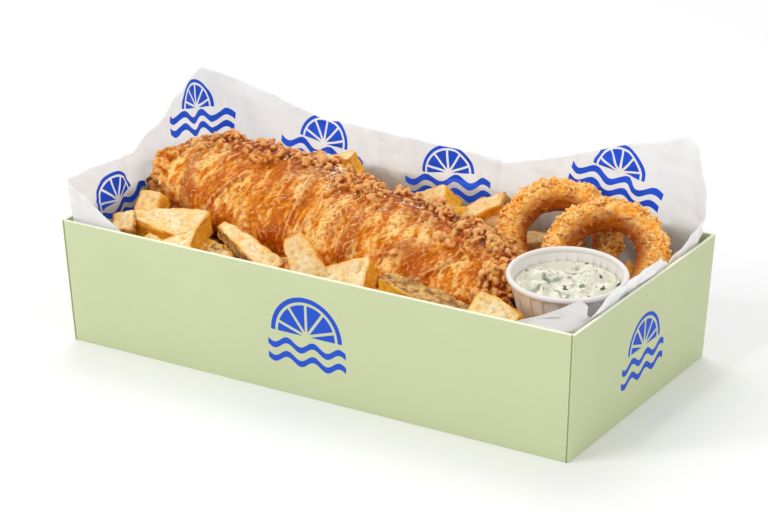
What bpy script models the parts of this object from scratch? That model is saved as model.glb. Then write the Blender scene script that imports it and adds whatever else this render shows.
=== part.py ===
"""Takeaway tray with a battered fish fillet, chips, two squid rings and a pot of tartare sauce.

One frame for everything: +X along the tray, +Z up, and the origin at the middle of the tray's
underside. Sizes are millimetres and MM turns them to the metres that Blender uses.
"""
import math
import random

import bmesh
import bpy
from mathutils import Matrix, Vector, noise

MM = 0.001

# Card tray: an open box whose walls lean out a little and are folded double at the rim.
TRAY_LENGTH = 300.0
TRAY_WIDTH = 157.0
TRAY_HEIGHT = 68.0
WALL_FLARE = 3.0
WALL_THICKNESS = 1.6
FLOOR_THICKNESS = 1.2
FOLD_RADIUS = 0.5
SLIT_WIDTH = 0.8
SLIT_DEPTH = 0.8
SLIT_START = 0.7
SLIT_FOOT = 3.0

# Greaseproof liner: one crumpled sheet, pushed into the tray and standing above its rim.
PAPER_THICKNESS = 0.6
PAPER_FLOOR = FLOOR_THICKNESS + 0.4
PAPER_SHOULDER = 66.0
PAPER_COLUMN = 13.0
PAPER_CRUMPLE = 1.1

# Battered fillet: an oval section carried along a leaning axis, with blunt ends.
FISH_LEFT = Vector((-143.5, 2.0, 76.0))
FISH_RIGHT = Vector((89.0, -22.0, 56.0))
FISH_BOW = Vector((0.0, 8.0, -5.0))
FISH_HALF_WIDTH = 35.0
FISH_HALF_THICKNESS = 23.0
FISH_ROLL = (12.0, 24.0)
FISH_STATIONS = 50
FISH_SIDES = 32
FISH_UNDERSIDE = (175, 375)
UNDERSIDE_SINK = 1.5

# Squid rings: centre, radius to the middle of the tube, tube radius, tilt and facing.
RING_TUBE = 8.7
RINGS = {
    "squid_ring_front": {"centre": Vector((111.0, 31.0, 63.2)), "radius": 24.2, "tilt": 40, "facing": 18},
    "squid_ring_back": {"centre": Vector((77.0, 45.6, 61.8)), "radius": 24.6, "tilt": 44, "facing": 30},
}

# Pleated paper pot, leaning a little towards the front.
POT_BASE_CENTRE = Vector((114.6, -18.2, 42.8))
POT_HEIGHT = 30.5
POT_RIM_RADIUS = 30.3
POT_TOP_RADIUS = 29.0
POT_BASE_RADIUS = 21.5
POT_WALL = 1.1
POT_FLOOR = 1.4
POT_PLEATS = 30
PLEAT_DEPTH = 0.25
POT_LEAN = math.radians(5)
POT_LEAN_TOWARDS = math.radians(31)
SAUCE_LEVEL = 24.0
SAUCE_GAP = 0.35

# Chips: the clear space that they keep to the other pieces, and the filled core below them.
CLEARANCE = 0.7
CORE_FOOT = 3.4
CORE_HALF_X = 141.0
CORE_HALF_Y = 70.5
CORE_CORNER = 5.0
CORE_COLUMNS = 22
CORE_ROWS = 11
CORE_CLEAR_X = 138.0
CORE_CLEAR_Y = 66.0
CORE_LOWEST = 28.0
CORE_MARGIN = 1.6
LINER_HALF_X = 144.6
LINER_HALF_Y = 73.4


def tray_half_size(height):
    """Half length and half width of the tray's outer face at one height."""
    lean = WALL_FLARE * (1.0 - height / TRAY_HEIGHT)
    return TRAY_LENGTH / 2 - lean, TRAY_WIDTH / 2 - lean


def new_material(name, colour, roughness):
    material = bpy.data.materials.new(name)
    material.use_nodes = True
    shader = material.node_tree.nodes["Principled BSDF"]
    shader.inputs["Base Color"].default_value = (*colour, 1.0)
    shader.inputs["Metallic"].default_value = 0.0
    shader.inputs["Roughness"].default_value = roughness
    return material


def add_object(name, bm, material):
    """Turn a closed shape drawn in millimetres into an object, all triangles, faces outwards."""
    bmesh.ops.scale(bm, vec=(MM, MM, MM), verts=bm.verts)
    bmesh.ops.triangulate(bm, faces=bm.faces)
    bmesh.ops.recalc_face_normals(bm, faces=bm.faces)
    mesh = bpy.data.meshes.new(name)
    bm.to_mesh(mesh)
    bm.free()
    if material:
        mesh.materials.append(material)
    part = bpy.data.objects.new(name, mesh)
    bpy.context.scene.collection.objects.link(part)
    return part


def bridge(bm, lower, upper):
    """Quads between two loops of vertices of the same length."""
    count = len(lower)
    for i in range(count):
        j = (i + 1) % count
        bm.faces.new((lower[i], lower[j], upper[j], upper[i]))


def loft(bm, loops):
    """A closed shape through loops of points, with a flat face over each end."""
    rows = [[bm.verts.new(point) for point in loop] for loop in loops]
    for lower, upper in zip(rows, rows[1:]):
        bridge(bm, lower, upper)
    bm.faces.new(rows[0][::-1])
    bm.faces.new(rows[-1])


def rounded_rectangle(half_x, half_y, radius, height, steps=2):
    """Points of a rectangle with round corners, anticlockwise seen from above."""
    points = []
    for quarter, (side_x, side_y) in enumerate(((1, 1), (-1, 1), (-1, -1), (1, -1))):
        for step in range(steps + 1):
            angle = math.radians(90 * (quarter + step / steps))
            x = side_x * (half_x - radius) + radius * math.cos(angle)
            y = side_y * (half_y - radius) + radius * math.sin(angle)
            points.append(Vector((x, y, height)))
    return points


def soft_noise(point, size, seed):
    """Smooth noise from about -1 to 1 whose bumps are about as wide as size."""
    offset = Vector((seed * 17.3, seed * -9.1, seed * 5.7))
    return noise.noise(point / size + offset)


def lumps(point, size, seed):
    """Rounded lumps from 0 to 1, one around each scattered centre."""
    offset = Vector((seed * 3.7, seed * 11.9, seed * -6.3))
    distance = noise.voronoi(point / size + offset)[0][0]
    return max(0.0, 1.0 - (distance / 0.62) ** 2)


# ---------------------------------------------------------------- tray

def build_tray(material):
    """The card tray: outer wall, rolled rim, inner wall and floor as one loft."""
    profile = (
        (0.0, FOLD_RADIUS),
        (FOLD_RADIUS, 0.0),
        (TRAY_HEIGHT - FOLD_RADIUS, 0.0),
        (TRAY_HEIGHT, FOLD_RADIUS),
        (TRAY_HEIGHT, WALL_THICKNESS - FOLD_RADIUS),
        (TRAY_HEIGHT - FOLD_RADIUS, WALL_THICKNESS),
        (FLOOR_THICKNESS, WALL_THICKNESS),
    )
    loops = []
    for height, inset in profile:
        half_x, half_y = tray_half_size(height)
        loops.append(rounded_rectangle(half_x - inset, half_y - inset, FOLD_RADIUS, height))
    bm = bmesh.new()
    loft(bm, loops)
    tray = add_object("tray", bm, material)
    for side_x in (-1, 1):
        for side_y in (-1, 1):
            cut_corner_slit(tray, side_x, side_y)
    return tray


def cut_corner_slit(tray, side_x, side_y):
    """The narrow gap where the end wall's folded edge meets the long wall's."""
    bm = bmesh.new()
    loops = []
    for height, width in ((SLIT_FOOT, SLIT_WIDTH * 0.4), (TRAY_HEIGHT + 1.0, SLIT_WIDTH)):
        half_x, half_y = tray_half_size(height)
        outer = half_x - SLIT_START
        deep = half_y - SLIT_DEPTH
        corners = ((outer - width, deep), (outer, deep), (outer, half_y + 1.0), (outer - width, half_y + 1.0))
        loops.append([Vector((side_x * x, side_y * y, height)) for x, y in corners])
    loft(bm, loops)
    cutter = add_object("corner_slit_cutter", bm, None)
    cut = tray.modifiers.new("corner slit", "BOOLEAN")
    cut.operation = "DIFFERENCE"
    cut.object = cutter
    bpy.context.view_layer.objects.active = tray
    bpy.ops.object.modifier_apply(modifier=cut.name)
    bpy.data.objects.remove(cutter, do_unlink=True)


# ---------------------------------------------------------------- paper liner

def paper_outline():
    """Where the sheet passes the rim (x, y) and where its torn edge ends (x, y, z), all the way round."""
    front = -76.0
    back = 76.0
    end = 147.3
    return (
        # front left corner fold, then the edge sinking behind the front wall
        (-end, -72.0, -150.5, -72.0, 88.0),
        (-145.4, -75.4, -148.5, -75.5, 90.0),
        (-136.0, front, -136.0, -76.3, 82.8),
        (-126.5, front, -126.5, -76.3, 76.2),
        (-117.0, front, -117.0, -76.2, 68.5),
        (-108.0, front, -108.0, front, 62.0),
        (108.0, front, 108.0, front, 61.0),
        # front right flap, leaning in towards the pot
        (121.0, front, 121.5, -75.6, 67.6),
        (131.0, front, 132.0, -60.5, 71.2),
        (140.5, -75.2, 138.5, -49.5, 73.0),
        (144.6, -72.0, 143.5, -51.5, 72.0),
        (146.6, -66.0, 145.6, -57.5, 70.0),
        # right end wall, with a torn notch
        (end, -57.0, 147.6, -57.0, 68.6),
        (end, -45.6, 149.2, -45.6, 74.0),
        (end, -4.0, 149.4, -4.0, 75.8),
        (end, 11.8, 149.2, 11.8, 76.7),
        (end, 20.0, 148.2, 20.0, 72.0),
        (end, 28.0, end, 28.0, 67.8),
        (end, 45.5, 148.2, 45.5, 71.8),
        (end, 62.0, 150.2, 66.5, 82.5),
        # back right peak
        (144.6, 70.6, 147.5, 73.5, 95.0),
        (138.5, 75.4, 140.0, 79.0, 108.0),
        (131.0, back, 132.5, 80.5, 117.0),
        (98.0, back, 99.0, 79.5, 107.0),
        (62.0, back, 62.5, 79.0, 94.5),
        (46.0, back, 46.0, 78.5, 89.2),
        (29.0, back, 29.0, 78.0, 85.2),
        (-14.0, back, -14.0, 78.5, 87.6),
        (-52.0, back, -52.0, 79.0, 88.2),
        (-91.0, back, -91.0, 79.5, 89.0),
        (-114.0, back, -115.0, 79.5, 95.6),
        # back left peak
        (-137.0, back, -141.0, 79.0, 102.0),
        (-143.6, 71.8, -150.0, 71.0, 107.5),
        (-end, 63.0, -157.0, 60.0, 113.5),
        (-end, 38.0, -155.0, 38.0, 106.6),
        (-end, 17.0, -153.0, 16.5, 97.6),
        (-end, -14.0, -149.8, -15.0, 86.4),
        (-end, -45.0, -150.0, -45.0, 87.6),
    )


def paper_columns():
    """The outline with its long runs divided evenly."""
    stations = paper_outline()
    columns = []
    for here, there in zip(stations, stations[1:] + stations[:1]):
        span = math.dist(here[:2], there[:2])
        parts = max(1, round(span / PAPER_COLUMN))
        for step in range(parts):
            share = step / parts
            columns.append([a + (b - a) * share for a, b in zip(here, there)])
    return columns


def paper_column_points(rim_x, rim_y, top_x, top_y, top_z):
    """One strip of the sheet, from the tray's floor to the torn edge."""
    shoulder = min(PAPER_SHOULDER, top_z - 2.0)
    full_x, full_y = tray_half_size(TRAY_HEIGHT)
    points = []
    for share in (0.0, 0.35, 0.72, 1.0):
        height = PAPER_FLOOR + (shoulder - PAPER_FLOOR) * share
        half_x, half_y = tray_half_size(height)
        points.append(Vector((rim_x * half_x / full_x, rim_y * half_y / full_y, height)))
    foot = points[-1].copy()
    tip = Vector((top_x, top_y, top_z))
    for share in (0.34, 0.68, 1.0):
        points.append(foot.lerp(tip, share))
    return points


def build_paper(material):
    """The liner as a single sheet of triangles, thickened inwards on both faces alike."""
    columns = paper_columns()
    bm = bmesh.new()
    grid = []
    for rim_x, rim_y, top_x, top_y, top_z in columns:
        inwards = Vector((-rim_x, -rim_y * 1.9, 0.0)).normalized()
        strip = []
        for row, point in enumerate(paper_column_points(rim_x, rim_y, top_x, top_y, top_z)):
            push = soft_noise(point, 21.0, 3) * PAPER_CRUMPLE
            if point.z < TRAY_HEIGHT + 1.0:
                push = abs(push)
            if row == 0:
                push = 0.0
            strip.append(bm.verts.new(point + inwards * push))
        grid.append(strip)
    count = len(grid)
    for i in range(count):
        left = grid[i]
        right = grid[(i + 1) % count]
        for row in range(len(left) - 1):
            quad = (left[row], right[row], right[row + 1], left[row + 1])
            if (i + row) % 2:
                bm.faces.new((quad[0], quad[1], quad[2]))
                bm.faces.new((quad[0], quad[2], quad[3]))
            else:
                bm.faces.new((quad[0], quad[1], quad[3]))
                bm.faces.new((quad[1], quad[2], quad[3]))
    bm.faces.new([strip[0] for strip in reversed(grid)])
    bmesh.ops.triangulate(bm, faces=[face for face in bm.faces if len(face.verts) > 3])
    paper = add_object("paper_liner", bm, material)
    outwards = paper.data.polygons[0].normal.dot(paper.data.polygons[0].center) > 0
    if not outwards:
        paper.data.flip_normals()
    skin = paper.modifiers.new("paper thickness", "SOLIDIFY")
    skin.thickness = PAPER_THICKNESS * MM
    skin.offset = -1.0
    return paper


# ---------------------------------------------------------------- battered fish

def fish_section(share):
    """Centre and half sizes of the fillet's oval section at a share of its length, 0 left to 1 right."""
    centre = FISH_LEFT.lerp(FISH_RIGHT, share)
    centre += FISH_BOW * math.sin(math.pi * share)
    across = 2.0 * share - 1.0
    power = 3.6 if across < 0 else 3.0
    end = max(0.0, 1.0 - abs(across) ** power) ** (1.0 / power)
    slim = 1.03 - 0.18 * share ** 1.5
    flat = 0.86 + 0.14 * min(1.0, share / 0.3)
    return centre, FISH_HALF_WIDTH * end * slim, FISH_HALF_THICKNESS * end * slim * flat


def fish_directions(share):
    """Unit vectors across the fillet's width and through its thickness; it rolls more to the right."""
    roll = math.radians(FISH_ROLL[0] + (FISH_ROLL[1] - FISH_ROLL[0]) * share)
    return Vector((0.0, math.cos(roll), math.sin(roll))), Vector((0.0, -math.sin(roll), math.cos(roll)))


def fish_point(share, angle):
    """A point of the smooth fillet, with 0 at the rear edge and 90 degrees on top."""
    centre, half_width, half_thickness = fish_section(share)
    wide, deep = fish_directions(share)
    return centre + wide * (half_width * math.cos(angle)) + deep * (half_thickness * math.sin(angle))


def bump(value, centre, width):
    return math.exp(-((value - centre) / width) ** 2)


def fish_relief(share, degrees, point):
    """Height of the batter over the smooth fillet: craggy along the ridge, the ends and the hem."""
    ridge = bump(degrees, 48, 26)
    hem = bump(degrees, 205, 20) * (0.35 + 0.5 * bump(share, 0.03, 0.1) + 0.6 * bump(share, 0.95, 0.1))
    ends = 0.8 * bump(share, 1.0, 0.06) + 0.5 * bump(share, 0.0, 0.03)
    crags = min(1.0, ridge + hem + ends)
    height = crags * (1.0 + 4.2 * lumps(point, 8.5, 1) + 1.2 * soft_noise(point, 5.0, 2))
    height += 0.9 * soft_noise(point, 16.0, 4) + 0.5 * soft_noise(point, 6.0, 5)
    return height


def build_fish(material):
    bm = bmesh.new()
    rows = []
    for station in range(1, FISH_STATIONS):
        even = 2.0 * station / FISH_STATIONS - 1.0
        share = 0.5 + 0.25 * (even + math.sin(math.pi / 2 * even))
        row = []
        for side in range(FISH_SIDES):
            degrees = 360 * side / FISH_SIDES
            point = fish_point(share, math.radians(degrees))
            outwards = (point - fish_section(share)[0]).normalized()
            height = fish_relief(share, degrees, point)
            if FISH_UNDERSIDE[0] < degrees or degrees + 360 < FISH_UNDERSIDE[1]:
                height = min(height - UNDERSIDE_SINK, 0.0)
            row.append(bm.verts.new(point + outwards * height))
        rows.append(row)
    for lower, upper in zip(rows, rows[1:]):
        bridge(bm, lower, upper)
    for row, share in ((rows[0], 0.0), (rows[-1], 1.0)):
        tip = bm.verts.new(fish_section(share)[0])
        for side in range(FISH_SIDES):
            bm.faces.new((row[side], row[(side + 1) % FISH_SIDES], tip))
    return add_object("battered_fish", bm, material)


# ---------------------------------------------------------------- squid rings

def ring_matrix(ring):
    """Places a flat ring: tilted up towards the front and turned to its facing."""
    turn = Matrix.Rotation(math.radians(ring["facing"]), 4, "Z")
    tilt = Matrix.Rotation(math.radians(ring["tilt"]), 4, "X")
    return Matrix.Translation(ring["centre"]) @ turn @ tilt


def build_ring(name, ring, material, steps=44, sides=12):
    """One crumbed ring, a little uneven in its round and in its thickness."""
    place = ring_matrix(ring)
    seed = len(name)
    bm = bmesh.new()
    rows = []
    for step in range(steps):
        turn = 2 * math.pi * step / steps
        middle = Vector((math.cos(turn), math.sin(turn), 0.0)) * ring["radius"]
        thick = RING_TUBE - 0.5 - 1.9 * bump(math.sin(turn), -1.0, 0.5)
        row = []
        for side in range(sides):
            angle = 2 * math.pi * side / sides
            outwards = middle.normalized() * math.cos(angle) + Vector((0.0, 0.0, math.sin(angle)))
            point = middle + outwards * thick
            rough = 0.55 * soft_noise(point, 4.0, seed) - 0.15
            row.append(bm.verts.new(place @ (point + outwards * rough)))
        rows.append(row)
    for step in range(steps):
        bridge(bm, rows[step], rows[(step + 1) % steps])
    return add_object(name, bm, material)


# ---------------------------------------------------------------- pot of sauce

def pot_matrix():
    lean = Matrix.Rotation(POT_LEAN, 4, "X")
    turn = Matrix.Rotation(POT_LEAN_TOWARDS, 4, "Z")
    return Matrix.Translation(POT_BASE_CENTRE) @ turn @ lean @ turn.inverted()


def pot_radius(height):
    """Outer radius of the pot's plain wall at a height over its base."""
    return POT_BASE_RADIUS + (POT_TOP_RADIUS - POT_BASE_RADIUS) * height / POT_HEIGHT


def turned_loop(radius, height, pleat, place, steps):
    """A ring of points whose radius goes in and out by the pleat's depth."""
    loop = []
    for step in range(steps):
        turn = 2 * math.pi * step / steps
        reach = radius + (pleat if step % 2 else -pleat)
        loop.append(place @ Vector((reach * math.cos(turn), reach * math.sin(turn), height)))
    return loop


def build_pot(material):
    """Pleated wall outside and inside, with a smooth rolled rim."""
    under_rim = POT_HEIGHT - 3.0
    profile = (
        (POT_BASE_RADIUS, 0.0, PLEAT_DEPTH),
        (pot_radius(under_rim), under_rim, PLEAT_DEPTH),
        (POT_RIM_RADIUS, POT_HEIGHT - 2.2, 0.0),
        (POT_RIM_RADIUS, POT_HEIGHT - 0.8, 0.0),
        (POT_RIM_RADIUS - 1.0, POT_HEIGHT, 0.0),
        (POT_RIM_RADIUS - 2.4, POT_HEIGHT - 0.9, 0.0),
        (pot_radius(under_rim) - POT_WALL, under_rim - 0.6, PLEAT_DEPTH),
        (pot_radius(POT_FLOOR) - POT_WALL, POT_FLOOR, PLEAT_DEPTH),
    )
    place = pot_matrix()
    bm = bmesh.new()
    loft(bm, [turned_loop(radius, height, pleat, place, 2 * POT_PLEATS) for radius, height, pleat in profile])
    return add_object("sauce_pot", bm, material)


def build_sauce(material, steps=30, rings=6):
    """The dip: a body that follows the pot's inner wall, with spooned peaks on top."""
    place = pot_matrix()
    gap = POT_WALL + PLEAT_DEPTH + SAUCE_GAP
    foot = POT_FLOOR + SAUCE_GAP
    edge_level = SAUCE_LEVEL - 0.8
    bm = bmesh.new()
    rows = []
    for height in (foot, edge_level):
        loop = turned_loop(pot_radius(height) - gap, height, 0.0, place, steps)
        rows.append([bm.verts.new(point) for point in loop])
    for ring in range(1, rings):
        radius = (pot_radius(edge_level) - gap) * (1.0 - ring / rings)
        row = []
        for step in range(steps):
            turn = 2 * math.pi * step / steps
            flat = Vector((radius * math.cos(turn), radius * math.sin(turn), 0.0))
            height = SAUCE_LEVEL + 0.6 + 1.4 * soft_noise(flat, 9.0, 6) + 1.6 * lumps(flat, 12.0, 2)
            row.append(bm.verts.new(place @ (flat + Vector((0.0, 0.0, height)))))
        rows.append(row)
    for lower, upper in zip(rows, rows[1:]):
        bridge(bm, lower, upper)
    middle = bm.verts.new(place @ Vector((0.0, 0.0, SAUCE_LEVEL + 1.2)))
    for step in range(steps):
        bm.faces.new((rows[-1][step], rows[-1][(step + 1) % steps], middle))
    bm.faces.new(rows[0][::-1])
    return add_object("tartare_sauce", bm, material)


# ---------------------------------------------------------------- chips

def blocked(point, margin):
    """True where a point is inside the fish, a ring, the pot or the liner, or nearer than margin."""
    share = (point.x - FISH_LEFT.x) / (FISH_RIGHT.x - FISH_LEFT.x)
    if 0.0 < share < 1.0:
        centre, half_width, half_thickness = fish_section(share)
        wide, deep = fish_directions(share)
        across = (point - centre).dot(wide) / (half_width + margin)
        through = (point - centre).dot(deep) / (half_thickness + margin)
        if across ** 2 + through ** 2 < 1.0:
            return True
    for ring in RINGS.values():
        local = ring_matrix(ring).inverted() @ point
        if math.hypot(math.hypot(local.x, local.y) - ring["radius"], local.z) < RING_TUBE + margin:
            return True
    local = pot_matrix().inverted() @ point
    if -margin < local.z < POT_HEIGHT + margin:
        reach = POT_RIM_RADIUS if local.z > POT_HEIGHT - 3.5 else pot_radius(local.z) + PLEAT_DEPTH
        if math.hypot(local.x, local.y) < reach + margin:
            return True
    lean = WALL_FLARE * (1.0 - point.z / TRAY_HEIGHT)
    return abs(point.x) > LINER_HALF_X - lean - margin or abs(point.y) > LINER_HALF_Y - lean - margin


def core_level(x, y):
    """Height of the buried part of the heap: higher in the front and back strips."""
    level = 50.0
    if y < -38:
        level = 55.0
    if y > 40 and x < 45:
        level = 58.0
    if x < -128:
        level = 46.0
    return level


def core_height(x, y):
    """The heap's level, lowered to stay under whatever lies on it."""
    height = core_level(x, y) + 1.5 * soft_noise(Vector((x, y, 0.0)), 14.0, 7)
    for dx in (-6.0, 0.0, 6.0):
        for dy in (-6.0, 0.0, 6.0):
            here = CORE_LOWEST
            while here < height and not blocked_by_food(Vector((x + dx, y + dy, here)), CORE_MARGIN):
                here += 1.0
            height = min(height, here)
    return height


def blocked_by_food(point, margin):
    """As blocked, without the liner's walls."""
    if abs(point.x) > CORE_CLEAR_X or abs(point.y) > CORE_CLEAR_Y:
        return False
    return blocked(point, margin)


def build_core():
    """The hidden middle of the heap as a height field over a rounded rectangle."""
    bm = bmesh.new()
    top = []
    for row in range(CORE_ROWS + 1):
        line = []
        for column in range(CORE_COLUMNS + 1):
            x = CORE_HALF_X * (2 * column / CORE_COLUMNS - 1)
            y = CORE_HALF_Y * (2 * row / CORE_ROWS - 1)
            if row in (0, CORE_ROWS) and column in (0, CORE_COLUMNS):
                x -= math.copysign(CORE_CORNER, x)
                y -= math.copysign(CORE_CORNER, y)
            line.append(bm.verts.new((x, y, core_height(x, y))))
        top.append(line)
    for row in range(CORE_ROWS):
        for column in range(CORE_COLUMNS):
            corners = (top[row][column], top[row][column + 1], top[row + 1][column + 1], top[row + 1][column])
            bm.faces.new(corners)
    edge = top[0][:-1] + [line[-1] for line in top[:-1]]
    edge += top[-1][:0:-1] + [line[0] for line in top[:0:-1]]
    foot = [bm.verts.new((vert.co.x * 0.978, vert.co.y * 0.965, CORE_FOOT)) for vert in edge]
    bridge(bm, foot, edge)
    bm.faces.new(foot[::-1])
    return add_object("chips", bm, None)


# Hand-placed chips that show: start, end, width, depth, roll in degrees and kind.
SHOWN_CHIPS = (
    ((-136, -57, 62), (-109, -62, 60), 16, 13, 10, "wedge"),
    ((-127, -56, 62), (-86, -47, 65), 23, 15, 18, "baton"),
    ((-94, -63, 60), (-66, -59, 62), 15, 13, 20, "wedge"),
    ((-107, -65, 60), (-93, -65, 62), 9, 9, 0, "baton"),
    ((-128, -45, 64), (-128, -30, 64), 15, 15, 0, "baton"),
    ((-77, -50, 66), (-18, -64, 58), 17, 14, 25, "wedge"),
    ((-70, -64, 58), (-50, -63, 58), 12, 10, 10, "baton"),
    ((-30, -54, 71), (8, -63, 56), 18, 13, 10, "wedge"),
    ((2, -60, 58), (38, -57, 63), 18, 15, -10, "baton"),
    ((28, -56, 62), (88, -63, 59), 17, 15, 20, "wedge"),
    ((85, -61, 65), (119, -60, 60), 15, 15, 45, "baton"),
    ((-78, 55, 60), (-44, 57, 70), 17, 13, 0, "wedge"),
    ((-22, 56, 58), (3, 57, 70), 18, 14, 30, "wedge"),
    ((14, 60, 54), (35, 58, 73), 15, 12, 0, "wedge"),
    ((30, 62, 50), (64, 63, 50), 13, 11, 20, "wedge"),
)


def chip_loops(start, end, width, depth, roll, kind, seed):
    """Cross sections of one thick-cut chip: a baton with square ends, or a wedge with thin ends."""
    start, end = Vector(start), Vector(end)
    along = (end - start).normalized()
    side = along.cross(Vector((0, 0, 1))).normalized()
    turn = Matrix.Rotation(math.radians(roll), 3, along)
    side, up = turn @ side, turn @ side.cross(along)
    if kind == "wedge":
        outline = ((-0.5, 0.42), (0.5, 0.36), (0.34, -0.2), (0.0, -0.5), (-0.36, -0.22))
        sizes = (0.42, 0.86, 1.0, 0.84, 0.4)
    else:
        outline = ((-0.5, 0.46), (0.48, 0.5), (0.5, -0.46), (-0.47, -0.5))
        sizes = (0.84, 1.0, 0.97, 0.82)
    loops = []
    for station, size in enumerate(sizes):
        middle = start.lerp(end, station / (len(sizes) - 1))
        loop = []
        for across, tall in outline:
            point = middle + side * (across * width * size) + up * (tall * depth * size)
            loop.append(point + Vector((soft_noise(point, 9.0, seed), soft_noise(point, 9.0, seed + 1), 0.0)))
        loops.append(loop)
    return loops


def chip_is_clear(loops, margin):
    """True when the corners, and the middles of the edges between them, keep clear of the rest."""
    for here, there in zip(loops, loops[1:]):
        for i, point in enumerate(here):
            follower = here[(i + 1) % len(here)]
            for sample in (point, there[i], (point + there[i]) / 2, (point + follower) / 2):
                if blocked(sample, margin):
                    return False
    return True


def filler_chips():
    """Further chips by rule: each strip is strewn with them, as high as its level and the others allow."""
    random_source = random.Random(11)
    strips = (
        # low x, high x, low y, high y, highest middle, tries, wanted
        (-128, 128, -60, -50, 60, 60, 12),
        (-128, 36, 52, 61, 60, 60, 9),
        (-134, -128, -34, 50, 54, 30, 4),
        (48, 134, -8, 64, 43, 80, 8),
    )
    chosen = []
    for low_x, high_x, low_y, high_y, highest, tries, wanted in strips:
        found = 0
        for attempt in range(tries):
            middle = Vector((random_source.uniform(low_x, high_x), random_source.uniform(low_y, high_y), 0.0))
            heading = math.radians(random_source.uniform(-28, 28))
            pitch = random_source.uniform(-0.12, 0.12)
            half = random_source.uniform(17, 27)
            width = random_source.uniform(12, 17)
            depth = random_source.uniform(10, 14)
            roll = random_source.uniform(-35, 35)
            kind = random_source.choice(("wedge", "baton", "wedge"))
            along = Vector((math.cos(heading), math.sin(heading), pitch)) * half
            for drop in range(0, 16, 3):
                middle.z = highest - drop
                loops = chip_loops(middle - along, middle + along, width, depth, roll, kind, attempt)
                lowest = min(point.z for loop in loops for point in loop)
                if chip_is_clear(loops, CLEARANCE) and lowest < core_height(middle.x, middle.y) + 1.0:
                    chosen.append(loops)
                    found += 1
                    break
            if found == wanted:
                break
    return chosen


def build_chips(material):
    """The heap: the core and every chip that is clear of the rest, in one union."""
    core = build_core()
    core.data.materials.append(material)
    pieces = bpy.data.collections.new("chip_pieces")
    bpy.context.scene.collection.children.link(pieces)
    loop_sets = []
    for number, (start, end, width, depth, roll, kind) in enumerate(SHOWN_CHIPS):
        loops = chip_loops(start, end, width, depth, roll, kind, number)
        if not chip_is_clear(loops, CLEARANCE):
            print("shown chip", number, "is not clear and is skipped")
            continue
        loop_sets.append(loops)
    loop_sets += filler_chips()
    for loops in loop_sets:
        bm = bmesh.new()
        loft(bm, loops)
        piece = add_object("chip_piece", bm, None)
        bpy.context.scene.collection.objects.unlink(piece)
        pieces.objects.link(piece)
    union = core.modifiers.new("fused chips", "BOOLEAN")
    union.operation = "UNION"
    union.operand_type = "COLLECTION"
    union.collection = pieces
    union.solver = "MANIFOLD"
    bpy.context.view_layer.objects.active = core
    bpy.ops.object.modifier_apply(modifier=union.name)
    for piece in list(pieces.objects):
        bpy.data.objects.remove(piece, do_unlink=True)
    bpy.data.collections.remove(pieces)
    keep_largest_shell(core)
    return core


def keep_largest_shell(part):
    """Drop loose scraps, and fill sealed hollows by removing their inner shells."""
    bm = bmesh.new()
    bm.from_mesh(part.data)
    waiting = set(bm.verts)
    shells = []
    while waiting:
        shell = set()
        front = [waiting.pop()]
        while front:
            vert = front.pop()
            shell.add(vert)
            for edge in vert.link_edges:
                other = edge.other_vert(vert)
                if other in waiting:
                    waiting.remove(other)
                    front.append(other)
        shells.append(shell)
    shells.sort(key=len)
    for shell in shells[:-1]:
        bmesh.ops.delete(bm, geom=list(shell), context="VERTS")
    bmesh.ops.triangulate(bm, faces=bm.faces)
    bm.to_mesh(part.data)
    bm.free()
    print("chips: dropped", len(shells) - 1, "loose shells")


# ---------------------------------------------------------------- the whole part

def main():
    for old in list(bpy.data.objects):
        bpy.data.objects.remove(old, do_unlink=True)
    build_tray(new_material("green_card", (0.63, 0.68, 0.45), 0.7))
    build_paper(new_material("greaseproof_paper", (0.86, 0.86, 0.88), 0.5))
    build_chips(new_material("chip_potato", (0.78, 0.52, 0.18), 0.6))
    build_fish(new_material("fish_batter", (0.62, 0.28, 0.06), 0.45))
    crumb = new_material("squid_crumb", (0.68, 0.33, 0.08), 0.6)
    for name, ring in RINGS.items():
        build_ring(name, ring, crumb)
    build_pot(new_material("pot_paper", (0.88, 0.87, 0.84), 0.5))
    build_sauce(new_material("tartare", (0.82, 0.8, 0.66), 0.35))
    for part in bpy.data.objects:
        if part.type == "MESH":
            part.data.shade_smooth()
            part.data.set_sharp_from_angle(angle=math.radians(35))


main()
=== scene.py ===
# %% [markdown]
# # Battered fish, chips and squid rings in a takeaway tray
#
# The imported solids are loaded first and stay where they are: they are the frame. Each piece of food,
# paper and card is then modelled over its solid, finished with a material and set to ride on the
# frame's one body. Sizes are in millimetres and MM turns them to Blender's metres.

# %% Load the frame
import math
import random

import bpy
import numpy as np
from mathutils import Matrix, Vector, noise


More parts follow.
